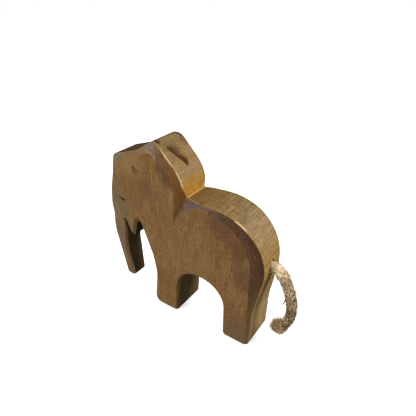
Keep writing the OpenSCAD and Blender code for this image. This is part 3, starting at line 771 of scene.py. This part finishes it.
def edge_wear_and_highlight(line, columns):
    """How much wear and painted highlight each point of the edge strip gets: highest on the rim between bevel
    and sawn edge, by stretches of the outline, where rubbed wear and the painted highlight of rims catching
    the light stand together; a second fainter line where the bevel meets the flat side, and a painted
    highlight across the neck notch's lit crease."""
    right_rim, neck_highlight, neck_line, neck_half = 0.35, 0.78, 0.67, 0.6
    place = np.arange(columns)

    def near(column, heights):
        away = np.minimum(np.abs(place - column), np.abs(place - (columns - 1 - column)))
        return np.interp(away, [0, 1, 2, 3], heights)

    on_rim = near(SAW_RIM, [1, 0.9, 0.5, 0]) * np.where(place < columns / 2, 1, right_rim)
    on_flat = near(FLAT_RIM, [1, 0.8, 0.3, 0])
    rim = by_place(line, [
        (THIGH, 0, 0.12), (RUMP, 16, 0.15), (RUMP, 20, 0.45), (RUMP, 26, 0.75), (RUMP, 27.5, 1.15),
        (RUMP, 33.5, 1.15), (RUMP, 34.5, 0.5), (RUMP, 40, 0.42), (NECK, 0, 0.42), (EAR, -1, 0.5),
        (EAR, 2, 0.95), (EAR, 9, 0.95), (EAR, 11, 0.55), (EAR, 19, 1.0), (EAR, 22, 0.9), (CROWN, 4, 0.34),
        (CROWN, 7, 0.12), (DIP, 0, 0.16), (FACE, 0, 0.2),
    ])
    flat = by_place(line, [
        (THIGH, 0, 0), (RUMP, 38, 0), (BACK, 0, 0.42), (NECK, -1, 0.42), (NECK, 1, 0), (EAR, 22, 0.1),
        (EAR, 25, 0.75), (CROWN, 4, 0.75), (DIP, -4, 0.4), (DIP, 6, 0.45), (BROW, 0, 0.3), (FACE, 0, 0.1),
    ])
    # Painted highlight: the neck notch's crease, a narrow facet that catches the light
    crease = np.maximum(1 - np.abs(line["along"] - line["mark"][NECK] - neck_line) / neck_half, 0)
    sawn = (place >= SAW_RIM) & (place <= columns - 1 - SAW_RIM)
    rubbed_and_lit = np.maximum(np.outer(rim, on_rim), np.outer(flat, on_flat))
    return np.maximum(rubbed_and_lit, np.outer(crease, neck_highlight * sawn))


def soft_share(line, columns):
    """How soft each point of the edge strip looks: from nothing on the sawn edge's rim to full on the flat
    side's, where the bevel meets that side in a wide rounding."""
    crisp, more_when_soft = 0.6, 1.6
    across = np.abs(np.linspace(-1, 1, columns))
    across = np.interp(across, [across[SAW_RIM], across[FLAT_RIM]], [0, 1])
    return np.outer(np.clip((bevel_ease(line) - crisp) / more_when_soft, 0, 1), across)


def trunk_ladder(rim, index, first_new):
    """Point numbers on one flank of the trunk, as a ladder of straight rungs from the fold to the tip whose
    inner points are new, and the loop of points round the flat side that starts at the fold."""
    fold_front, fold_rear, tip_rear = (np.argmax(index == c) for c in (FOLD, SLIT, TIP_REAR))
    rungs = fold_rear - tip_rear
    inner = tip_rear - (fold_front + rungs) - 1
    ladder = np.empty((rungs + 1, inner + 2), int)
    ladder[:, 0] = rim[fold_front:fold_front + rungs + 1]
    ladder[:, -1] = rim[fold_rear - np.arange(rungs + 1)]
    ladder[:-1, 1:-1] = first_new + np.arange(rungs * inner).reshape(rungs, inner)
    ladder[-1, 1:-1] = rim[fold_front + rungs + 1:tip_rear]
    return ladder, np.concatenate([rim[fold_rear:], rim[:fold_front + 1], ladder[0, 1:-1]])


def flat_side(points, loop, middle, mirror):
    """One flat side inside its loop, with the eye cut into it: its new points, how far each is sunk, and
    the triangles."""
    border = points[loop][:, [0, 2]]
    inside, sunk = inside_points(border, middle)
    triangles = filled_flat(border, inside)
    used = np.unique(triangles[triangles >= len(loop)]) - len(loop)
    lookup = np.append(loop, np.zeros(len(inside), int))
    lookup[len(loop) + used] = len(points) + np.arange(len(used))
    place = np.stack([inside[:, 0], mirror * (sunk - BOARD_T / 2), inside[:, 1]], axis=1)
    return place[used], sunk[used], lookup[triangles]


def body_piece(line, materials):
    """The whole wooden figure as one closed skin: the edge strip, the trunk's two flanks and the two flat
    sides."""
    skin = body_strip(line)
    cut_painted_shade = carve_edge(skin, line)
    samples, columns = skin.shape[:2]
    number = np.arange(samples * columns).reshape(samples, columns)
    zone = np.full(columns - 1, EDGE_FACES)
    zone[:SAW_RIM] = zone[-SAW_RIM:] = BEVEL_FACES
    zone[:FLAT_RIM] = zone[-FLAT_RIM:] = SIDE_FACES
    points, faces = skin.reshape(-1, 3), grid_faces(np.vstack([number, number[:1]])).tolist()
    slots, smooth, ink = np.tile(zone, samples).tolist(), [True] * len(faces), [np.zeros(len(points))]
    for column, mirror in ((0, 1), (columns - 1, -1)):
        ladder, loop = trunk_ladder(number[:, column], line["index"], len(points))
        front, rear = points[ladder[:-1, 0]], points[ladder[:-1, -1]]
        between = straight(front, rear, ladder.shape[1] - 2).reshape(-1, 3)
        points = np.vstack([points, between])
        inside, sunk, flat = flat_side(points, loop, line["middle"], mirror)
        points = np.vstack([points, inside])
        ink += [np.zeros(len(between)), soft_step(*EYE_DARK, sunk)]
        flank = grid_faces(ladder)[:, [0, 3, 2, 1]]
        if mirror < 0:
            flank, flat = flank[:, ::-1], flat[:, ::-1]
        faces += flank.tolist() + flat.tolist()
        slots += [SIDE_FACES] * (len(flank) + len(flat))
        smooth += [True] * len(flank) + [False] * len(flat)
    # The hollow value is the painted shade of the knife cut between the ears
    strip = {"along": np.repeat(line["along"] / line["length"], columns), "wear_and_highlight": edge_wear_and_highlight(line, columns),
             "hollow": cut_painted_shade, "soft": soft_share(line, columns)}
    values = {label: np.append(value, np.zeros(len(points) - number.size)) for label, value in strip.items()}
    values["ink"] = np.concatenate(ink)
    return put_mesh("wooden_body", points, faces, materials, slots, smooth, values)


# Wood finishes
def side_wood():
    """Flat sides: brown with upright grain, pale growth lines, an olive face, stains and a dark eye."""
    material, tree, shader = new_material("side_wood", 0.52, OILED)
    place = millimetres(tree)
    colour, grain = wood_grain(place, pale=paint(147, 115, 73), deep=paint(137, 101, 63), streaks=2.8)
    colour, = growth_lines(place, colour=colour, line=paint(176, 130, 70), strength=0.85)
    colour = stains_and_painted_light(place, colour, [
        ((129, 112, 81), (-49, -12, 66), 24, 0.8),
        ((133, 113, 86), (-51, -7, 34), 30, 0.8),
        ((158, 128, 82), (-32, -12, 98), 16, 0.8),
        ((100, 72, 56), (-2, -12, 94), 9, 0.8),
        ((106, 78, 60), (-6, -12, 99), 7, 0.7),
        ((116, 88, 62), (-18, -12, 82), 10, 0.5),
        ((62, 46, 30), (-28.2, -12, 94.2), 1.4, 0.7),
        ((92, 72, 48), (-26.8, -12, 92.4), 3.6, 0.65),
        ((112, 76, 54), (31, -12, 77), 14, 0.75),
        ((108, 75, 52), (42, -12, 66), 12, 0.78),
        ((112, 78, 56), (46.5, -12, 48), 13, 0.7),
        ((122, 98, 74), (44, -12, 8), 18, 0.7),
        ((124, 84, 46), (-17, -12, 28), 7, 0.5),
        ((126, 92, 55), (-9, -12, 24), 13, 0.5),
    ])
    colour, = fine_scratches(place, colour=colour, scratch=paint(172, 142, 96), strength=0.45)
    colour, dents = handled(place, colour, (190, 175, 145), 0.3, (158, 118, 68), (196, 160, 112))
    colour = mixed(attribute(tree, "ink"), colour, paint(38, 32, 36))
    rough = spread(grain, 0.3, 0.7, 0.6, 0.46)
    connect(tree, shader, {"Base Color": colour, "Roughness": rough, "Normal": bump(grain - dents, 0.1, 0.5)})
    return material


def place_colours(line, rows):
    """Colour stops round the outline, from rows of (corner, mm past its arc's start, screen colour)."""
    return [((line["mark"][corner] + past) / line["length"], colour) for corner, past, colour in rows]


def bevel_wood(line):
    """Knife bevels: smooth cuts whose colour changes round the outline, darkest on the rump, with painted
    shade in the neck notch's crease.
    """
    material, tree, shader = new_material("bevel_wood", 0.5, OILED)
    place = millimetres(tree)
    # The dark stop at NECK+0.68 is painted shade in the bottom of the neck notch
    tone = ramp(attribute(tree, "along"), place_colours(line, [
        (HIND_HEEL, 0, (140, 112, 80)), (HOCK, 0, (134, 104, 72)), (HOCK, 12, (122, 94, 65)),
        (THIGH, 0, (85, 63, 45)), (RUMP, 12, (76, 53, 39)), (RUMP, 24, (79, 57, 43)),
        (RUMP, 36, (100, 74, 50)), (RUMP, 46, (114, 92, 76)), (BACK, 2, (120, 98, 88)),
        (WITHERS, 0, (122, 100, 90)), (NECK, 0.5, (120, 98, 82)), (NECK, 0.68, (66, 46, 30)),
        (NECK, 0.85, (126, 86, 48)), (EAR, 0, (128, 88, 46)), (EAR, 12, (126, 90, 54)),
        (CROWN, -3, (124, 98, 66)), (CROWN, 3, (150, 132, 108)), (CROWN, 9, (148, 130, 108)),
        (DIP, 0, (148, 118, 82)), (DIP, 10, (144, 114, 74)), (BROW, 0, (134, 120, 98)),
        (FACE, 0, (124, 108, 78)), (TRUNK, 0, (154, 130, 101)), (TIP, 0, (151, 127, 96)),
        (TIP_REAR, 4, (154, 128, 98)), (SLIT, 0, (112, 86, 56)), (JAW, 0, (132, 106, 72)),
        (CHIN, 0, (116, 92, 60)), (CHEST, 0, (126, 92, 56)), (HEEL, 0, (118, 88, 54)),
        (HIND_TOE, 4, (114, 88, 58)),
    ]))
    tone = mixed(attribute(tree, "soft"), tone, paint(106, 75, 53))
    colour, grain = wood_grain(place, pale=tone, deep=dimmed(tone, 0.84), streaks=2.6)
    colour, _ = handled(place, colour, (196, 178, 148), 0.5, (160, 122, 74), (232, 208, 166))
    rough = spread(grain, 0.3, 0.7, 0.58, 0.44)
    connect(tree, shader, {"Base Color": colour, "Roughness": rough, "Normal": bump(grain, 0.1, 0.45)})
    return material


def edge_wood(line):
    """Sawn edge: golden and olive by place, with fine saw lines, dark spots on the crown, painted shade on
    the forehead and in the knife cut, and patches of painted light inside the front leg and low on the hind
    leg's rear.
    """
    material, tree, shader = new_material("edge_wood", 0.55, 0.0)
    place = millimetres(tree)
    along = attribute(tree, "along")
    # The stops from CROWN+6 over DIP to BROW darken the forehead's top as painted shade, as if it faced away
    # from the light
    tone = ramp(along, place_colours(line, [
        (HIND_HEEL, 0, (172, 149, 108)), (HOCK, 0, (182, 160, 113)), (THIGH, 0, (180, 146, 88)),
        (RUMP, 6, (182, 144, 84)), (RUMP, 20, (166, 138, 100)), (RUMP, 36, (142, 118, 80)),
        (BACK, 0, (133, 104, 62)), (WITHERS, 0, (127, 99, 57)), (NECK, 0.5, (124, 96, 52)),
        (NECK, 0.8, (192, 142, 58)), (EAR_FOOT, 0, (186, 138, 62)), (EAR, 7, (163, 134, 94)),
        (EAR, 14, (156, 127, 84)), (CROWN, 3, (140, 115, 78)), (CROWN, 6, (77, 63, 45)),
        (DIP, 0, (79, 65, 47)), (BROW, 0, (82, 69, 52)), (FACE, 0, (110, 90, 58)), (TIP, 0, (104, 80, 50)),
        (TIP_REAR, 0, (110, 93, 67)), (SLIT, 0, (103, 86, 62)), (CHIN, 0, (98, 80, 58)),
        (CHEST, 0, (104, 78, 46)), (TOE, 0, (106, 80, 48)), (HEEL, 0, (128, 109, 74)),
        (ARCH, 0, (128, 110, 76)), (HIND_TOE, 4, (104, 82, 48)),
    ]))
    y = place.to("SeparateXYZ", {0: place}, 1)
    marks = []
    for lengthwise, crosswise in ((1.5, 0.06), (0.1, 1.5)):
        drawn = place.to("CombineXYZ", {0: along * (line["length"] * lengthwise), 1: y * crosswise})
        marks.append(noise(drawn, 1, 3, 0.7))
    lines = marks[0] * 0.65 + marks[1] * 0.35
    neck = line["mark"][NECK] / line["length"]
    contrast = spread(along, neck, neck + 0.004, 3.2, 1.8)
    colour, _ = wood_grain(place, pale=tone, deep=dimmed(tone, 0.86), streaks=1.9)
    colour = stains_and_painted_light(place, dimmed(colour, (lines - 0.5) * contrast + 1.0), [
        ((46, 33, 24), (-12.8, -9.2, 111.9), 4.2, 0.95),
        ((58, 40, 28), (-12.6, 10.4, 111.8), 4.0, 0.9),
        ((112, 78, 46), (-8.6, 9.8, 109), 5.0, 0.55),
        ((84, 60, 38), (-7.2, -1.4, 107.4), 5.6, 0.3),
        # Painted light: a warm band on the far part of the front leg's rear face, as if lit through the arch
        ((148, 102, 63), (1, 9, 11), 10, 0.55),
        # Painted light low on the hind leg's rear, lifting the tail's shadow there
        ((204, 168, 114), (50.5, -8, 14), 20, 0.6),
    ])
    # Painted shade in the knife cut between the ears, full near its foot
    colour = mixed(attribute(tree, "hollow") * 0.9, colour, paint(80, 49, 29))
    colour, _ = handled(place, colour, (205, 185, 150), 0.2, (176, 130, 62), (236, 212, 168))
    rough = spread(lines, 0.3, 0.7, 0.64, 0.5)
    connect(tree, shader, {"Base Color": colour, "Roughness": rough, "Normal": bump(lines, 0.12, 0.5)})
    return material


# Rope tail
def rope_radius(at):
    """Thickness of the rope along its length: tight in the socket, full just outside it, slimmer towards
    its end, loosened at the end and rounded off there."""
    radius = np.interp(at - GLUED_L, [-13, -1, 0.3, 2, 4, 7, 14, 26, 40, 47, 52],
                       [2.6, 2.35, 2.4, 2.75, 3.1, 3.3, 3.05, 2.9, 2.7, 2.75, 2.9])
    end_round, least = 2.4, 0.0004
    left = np.clip((at[-1] - at) / end_round, 0, 1)
    return radius * np.sqrt(np.maximum(1 - (1 - left) ** 2, least))


def free_share(at):
    """Share of the way down the free stretch of the rope."""
    return (at - GLUED_L) / (at[-1] - GLUED_L)


def rope_frame(line):
    """Heading of the rope's middle line, and two directions across it: sideways and in its own plane."""
    heading = unit(np.gradient(line, axis=0))
    sideways = np.tile([0.0, 1.0, 0.0], (len(line), 1))
    return heading, sideways, np.cross(heading, sideways)


def rope_skin(line, at):
    """Laid rope: a circle whose radius falls into a groove between each two of its strands, which wind
    round the middle line once per lay length; finer ridges wind the other way, and slow lumps come from a
    few seeded waves."""
    groove, flatness, yarns, yarn_rise, yarn_step, lump_rise = 0.45, 0.72, 5, 0.03, 1.7, 0.012
    w = np.linspace(0, 2 * math.pi, ROPE_SIDES, endpoint=False)[None, :]
    s = at[:, None]
    wound = (w / (2 * math.pi) - s / LAY_LENGTH) * STRANDS
    off = np.abs(wound - np.round(wound)) * 2
    strand = 0.5 + 0.5 * np.sqrt(1 - flatness * off ** 2)
    yarn = yarn_rise * np.cos(2 * math.pi * (yarns * wound + s / yarn_step))
    turns = rng.integers(1, 9, LUMP_WAVES)
    waves = rng.uniform(0.3, 2.6, LUMP_WAVES)
    phase = rng.uniform(0, 2 * math.pi, LUMP_WAVES)
    lumps = np.cos(turns * w[..., None] + waves * s[..., None] + phase).sum(-1) * lump_rise
    shape = 1 - groove + groove * strand + yarn + lumps
    radius = rope_radius(at)[:, None] * np.where(s < GLUED_L, np.minimum(shape, 1), shape)
    _, sideways, up = rope_frame(line)
    ring = np.cos(w)[..., None] * sideways[:, None] + np.sin(w)[..., None] * up[:, None]
    return line[:, None] + radius[..., None] * ring, off


def rope_piece(line, at, material):
    """The rope as one closed tube, with a middle point at each end, and for its colour the way along it,
    the way across each strand and its fibres' own coordinates, which turn slowly round it."""
    skin, off = rope_skin(line, at)
    rows, sides = skin.shape[:2]
    around, last = np.arange(sides), (rows - 1) * sides
    ahead = (around + 1) % sides
    first_cap = np.stack([np.full(sides, rows * sides), ahead, around], axis=1)
    last_cap = np.stack([np.full(sides, rows * sides + 1), last + around, last + ahead], axis=1)
    points = np.vstack([skin.reshape(-1, 3), line[:1], line[-1:]])
    share = np.clip(free_share(at), 0, 1)
    w = np.linspace(0, 2 * math.pi, sides, endpoint=False)[None, :]
    turned = w - 2 * math.pi * at[:, None] / YARN_TURN
    full = ROPE_D / 2
    laid = np.stack([full * np.cos(turned), full * np.sin(turned), np.repeat(at[:, None], sides, 1)], axis=-1)
    laid = laid.reshape(-1, 3)
    values = {
        "along": np.append(np.repeat(share, sides), [0, 1]),
        "laid": np.vstack([laid, laid[:1], laid[-1:]]),
        "groove": np.append(off, [0.5, 0.5]),
    }
    faces = tube_faces(rows, sides).tolist() + first_cap.tolist() + last_cap.tolist()
    return put_mesh("rope_tail", points, faces, [material], attributes=values)


def hair_mesh(name, start, heading, curl, length, thick, tone, material):
    """Loose fibres: each starts at a point, runs along its heading and bends by its curl with the square of
    the way, as a thin tube of a few sides that tapers almost to a point."""
    t = np.linspace(0, 1, FIBRE_RINGS)[None, :, None]
    middle = start[:, None] + length[:, None, None] * (t * heading[:, None] + 0.5 * t ** 2 * curl[:, None])
    along = unit(heading[:, None] + t * curl[:, None])
    slant = [0.31, 0.83, 0.46]
    side = unit(np.cross(along, slant))
    up = np.cross(along, side)
    w = np.linspace(0, 2 * math.pi, FIBRE_SIDES, endpoint=False)
    ring = np.cos(w)[:, None] * side[:, :, None] + np.sin(w)[:, None] * up[:, :, None]
    radius = thick[:, None, None, None] * (1 - FIBRE_TAPER * t[..., None])
    points = (middle[:, :, None] + radius * ring).reshape(-1, 3)
    each = FIBRE_RINGS * FIBRE_SIDES
    faces = tube_faces(FIBRE_RINGS, FIBRE_SIDES)[None] + (np.arange(len(start)) * each)[:, None, None]
    values = {"tone": np.repeat(tone, each)}
    return put_mesh(name, points, faces.reshape(-1, 4).tolist(), [material], attributes=values)


def scattered(count):
    """Unit vectors in every direction."""
    return unit(rng.normal(size=(count, 3)))


def fibre_roots(line, at, rows, count, draw):
    """Places on the rope's skin where fibres start, in rows drawn from those given, with the row of each
    and its way out from the rope's middle line."""
    skin, _ = rope_skin(line, at)
    row = rows[draw(len(rows))]
    start = skin[row, rng.integers(0, ROPE_SIDES, count)]
    return start, row, unit(start - line[row])


def rope_fuzz(line, at, material):
    """Fibres on the rope's skin all along its free stretch: most lie along the twist, some stand off it,
    and their tone changes down the rope, with more dark ones lower down."""
    count = FUZZ_COUNT
    free = np.flatnonzero((at > GLUED_L + 0.6) & (at < at[-1] - 1))
    start, row, out = fibre_roots(line, at, free, count,
                                  lambda rows: (rng.random(count) * (rows - 1)).astype(int))
    ahead = rope_frame(line)[0][row]
    share = free_share(at)[row]
    twist = np.cross(ahead, out) * (0.4 + 0.6 * share[:, None])
    stands = np.where(rng.random((count, 1)) < 0.14, 0.7, 0.1)
    heading = unit(ahead * rng.choice([-1, 1], (count, 1)) + twist + stands * out + 0.7 * scattered(count))
    length = rng.uniform(1.2, 2.8, count)
    curl = 0.35 * scattered(count) - 0.35 * out
    light = np.interp(share, [0, 0.15, 0.24, 0.35, 0.5, 0.6, 0.7, 1],
                      [0.95, 1, 0.7, 0.95, 0.75, 0.45, 1, 0.95])
    tone = np.where(rng.random(count) < 0.3 * soft_step(0.0, 0.4, share), 0.05, light)
    thick = rng.uniform(*FIBRE_R, count)
    tone = tone + rng.uniform(-0.16, 0.16, count)
    return hair_mesh("rope_fuzz", start - 0.05 * out, heading, curl, length, thick, tone, material)


def frayed_end(line, at, material):
    """The unlaid end: fibres that leave the last stretch of the rope, bend back over it and close to a
    ragged bulb, paler and browner by clumps."""
    count = FRAY_COUNT
    frayed_l = 5.5
    end = np.flatnonzero(at > at[-1] - frayed_l)
    start, row, out = fibre_roots(line, at, end, count, lambda rows: rng.integers(0, rows, count))
    heading = unit(0.55 * rope_frame(line)[0][row] + 0.5 * out + 0.5 * scattered(count) + [-0.1, 0, 0.25])
    curl = np.array([0.1, 0, 1.0]) * rng.uniform(0.3, 1.5, (count, 1)) + 0.5 * scattered(count) - 0.5 * out
    length = rng.uniform(1.8, 4.8, count)
    clump = np.sin(7 * start[:, 0] + 5 * start[:, 2]) * np.cos(6 * start[:, 1] - 4 * start[:, 2])
    tone = np.clip(0.66 + 0.06 * length + 0.6 * clump + rng.uniform(-0.15, 0.2, count), 0, 1)
    thick = rng.uniform(*FIBRE_R, count)
    return hair_mesh("frayed_end", start - 0.3 * out, heading, curl, length, thick, tone, material)


def root_fray(line, at, material):
    """Fibres pushed out round the rope where it enters the wood, and a dark stray one halfway down."""
    count = ROOT_COUNT
    root = np.flatnonzero((at > GLUED_L + 0.1) & (at < GLUED_L + 3))
    start, _, out = fibre_roots(line, at, root, count, lambda rows: rng.integers(0, rows, count))
    heading = unit(0.7 * out + 0.5 * scattered(count) + [0.2, 0, 0.1])
    length = rng.uniform(0.5, 1.1, count)
    tone = rng.uniform(0.3, 1.0, count)
    curl = 0.6 * scattered(count)
    thick = rng.uniform(0.08, 0.14, count)
    stray_at, stray_l, stray_thick, stray_tone = 22.5, 6.6, 0.45, 0.05
    stray = line[np.argmin(np.abs(at - GLUED_L - stray_at))] + [-2.2, -1.5, 0]
    start = np.vstack([start - 0.2 * out, stray])
    heading = np.vstack([heading, unit(np.array([-0.13, -0.63, -0.78]))])
    curl = np.vstack([curl, [-0.3, -0.1, 0]])
    return hair_mesh("root_fray", start, heading, curl, np.append(length, stray_l),
                     np.append(thick, stray_thick), np.append(tone, stray_tone), material)


def jute_rope():
    """Jute: cream at the root, browner to the end, with painted shade in the grooves between strands, and
    flecked with brown.
    """
    material, tree, shader = new_material("jute_rope", 0.9, 0.1)
    along, laid = attribute(tree, "along"), attribute(tree, "laid", "Vector")
    tone = ramp(along, [
        (0.0, (232, 212, 172)), (0.1, (250, 230, 192)), (0.15, (242, 217, 176)), (0.24, (186, 161, 126)),
        (0.29, (246, 219, 176)), (0.35, (240, 211, 166)), (0.44, (200, 173, 132)), (0.5, (218, 190, 146)),
        (0.6, (176, 152, 116)), (0.67, (236, 206, 162)), (0.75, (240, 204, 158)), (0.82, (200, 161, 116)),
        (1.0, (184, 146, 103)),
    ])
    # Painted shade in the grooves between the strands, from a little below the root down
    groove = spread(attribute(tree, "groove"), 0.6, 1.0, 0.0, 0.55)
    sunk = mixed(groove * spread(along, 0.05, 0.45), tone, paint(96, 70, 46))
    often = spread(along, 0.04, 0.2, -0.065, 0.0) + spread(along, 0.45, 0.75, 0.0, 0.05)
    gap = spread(drawn_noise(laid, (1.1, 1.1, 0.9), 3, 0.7) + often, 0.51, 0.56)
    fleck = ramp(along, [(0.0, (136, 84, 44)), (0.25, (92, 58, 34)), (0.6, (62, 42, 28)),
                         (1.0, (68, 48, 32))])
    flecked = mixed(gap * spread(along, 0.06, 0.26, 0.5, 0.95), sunk, fleck)
    fibres = drawn_noise(laid, (2.3, 2.3, 1.2), 3, 0.6)
    colour = dimmed(flecked, spread(fibres, 0.25, 0.75, 0.64, 1.28))
    connect(tree, shader, {"Base Color": colour, "Normal": bump(fibres - gap, 0.3, 0.8)})
    return material


def loose_fibre():
    """Single jute fibres: from brown to pale straw by each fibre's own tone."""
    material, tree, shader = new_material("loose_fibre", 0.85, 0.2)
    stops = [(0.0, (74, 52, 34)), (0.3, (134, 102, 68)), (0.6, (196, 162, 114)), (1.0, (248, 226, 186))]
    connect(tree, shader, {"Base Color": ramp(attribute(tree, "tone"), stops)})
    return material


def cured_glue():
    """Hard amber glue with cloudy places."""
    material, tree, shader = new_material("cured_glue", 0.3)
    cloud = noise(millimetres(tree), 0.8)
    colour = mixed(spread(cloud, 0.3, 0.7), paint(150, 104, 48), paint(190, 148, 82))
    connect(tree, shader, {"Base Color": colour, "Normal": bump(cloud, 0.2, 0.6)})
    return material


def add_tail():
    """The rope with its fuzz, its frayed end and its root, as one free cord from the socket's mouth."""
    flat = np.stack([ROPE_LINE[:, 0], np.zeros(len(ROPE_LINE)), ROPE_LINE[:, 1]], axis=1)
    line, at = smooth_line(PIVOT + flat, ROPE_STEP)
    rope = rope_piece(line, at, jute_rope())
    fibre = loose_fibre()
    fuzz = [rope_fuzz(line, at, fibre), frayed_end(line, at, fibre), root_fray(line, at, fibre)]
    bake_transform(rope)
    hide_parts("tail_rope", "tail_root")
    for piece in fuzz:
        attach(piece, "tail")
    frame["nodes"]["tail_glue"].data.materials.clear()
    frame["nodes"]["tail_glue"].data.materials.append(cured_glue())


def add_body():
    """The wooden figure, in place of its CAD solid."""
    line = figure_outline()
    body = body_piece(line, [side_wood(), bevel_wood(line), edge_wood(line)])
    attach(body, "body")
    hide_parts("body")


# Studio
def add_lamp(name, place, power, size):
    """A soft square lamp that faces the middle of the figure."""
    data = bpy.data.lights.new(name, "AREA")
    data.energy, data.size = power, size
    light = bpy.data.objects.new(name, data)
    light.location = place
    back = unit(np.array(place) - np.array(LAMP_AIM))
    light.rotation_euler = (math.acos(back[2]), 0, math.atan2(back[0], -back[1]))
    bpy.context.scene.collection.objects.link(light)


def add_floor():
    """Pale floor: near white to the camera, a dark grey to the light that bounces off it."""
    material, tree, shader = new_material("pale_floor", 0.9, 0.0)
    seen = seen_ray(tree)
    colours = {"Base Color": mixed(seen, FLOOR_GREY, WHITE), "Emission Color": mixed(seen, BLACK, WHITE)}
    connect(tree, shader, {**colours, "Emission Strength": FLOOR_GLOW})
    corners = [(x * FLOOR_HALF, y * FLOOR_HALF, -FLOOR_DROP) for x, y in ((-1, -1), (1, -1), (1, 1), (-1, 1))]
    put_mesh("floor", corners, [(0, 1, 2, 3)], [material])


def add_world():
    """Soft white dome, seen as plain white."""
    world = bpy.data.worlds.new("soft_dome")
    world.use_nodes = True
    tree = world.node_tree
    seen = seen_ray(tree)
    strength = seen.to("MapRange", {"Value": seen, "To Min": DOME_LIGHT, "To Max": 1.0})
    connect(tree, tree.nodes["Background"], {"Color": WHITE, "Strength": strength})
    bpy.context.scene.world = world


def add_studio():
    """Key lamp from behind and above, a broad fill on each side, the floor and the dome."""
    for row in LAMPS:
        add_lamp(*row)
    add_floor()
    add_world()
    bpy.context.scene.view_settings.view_transform = "Standard"


photo_camera()
add_tail()
add_body()
add_studio()
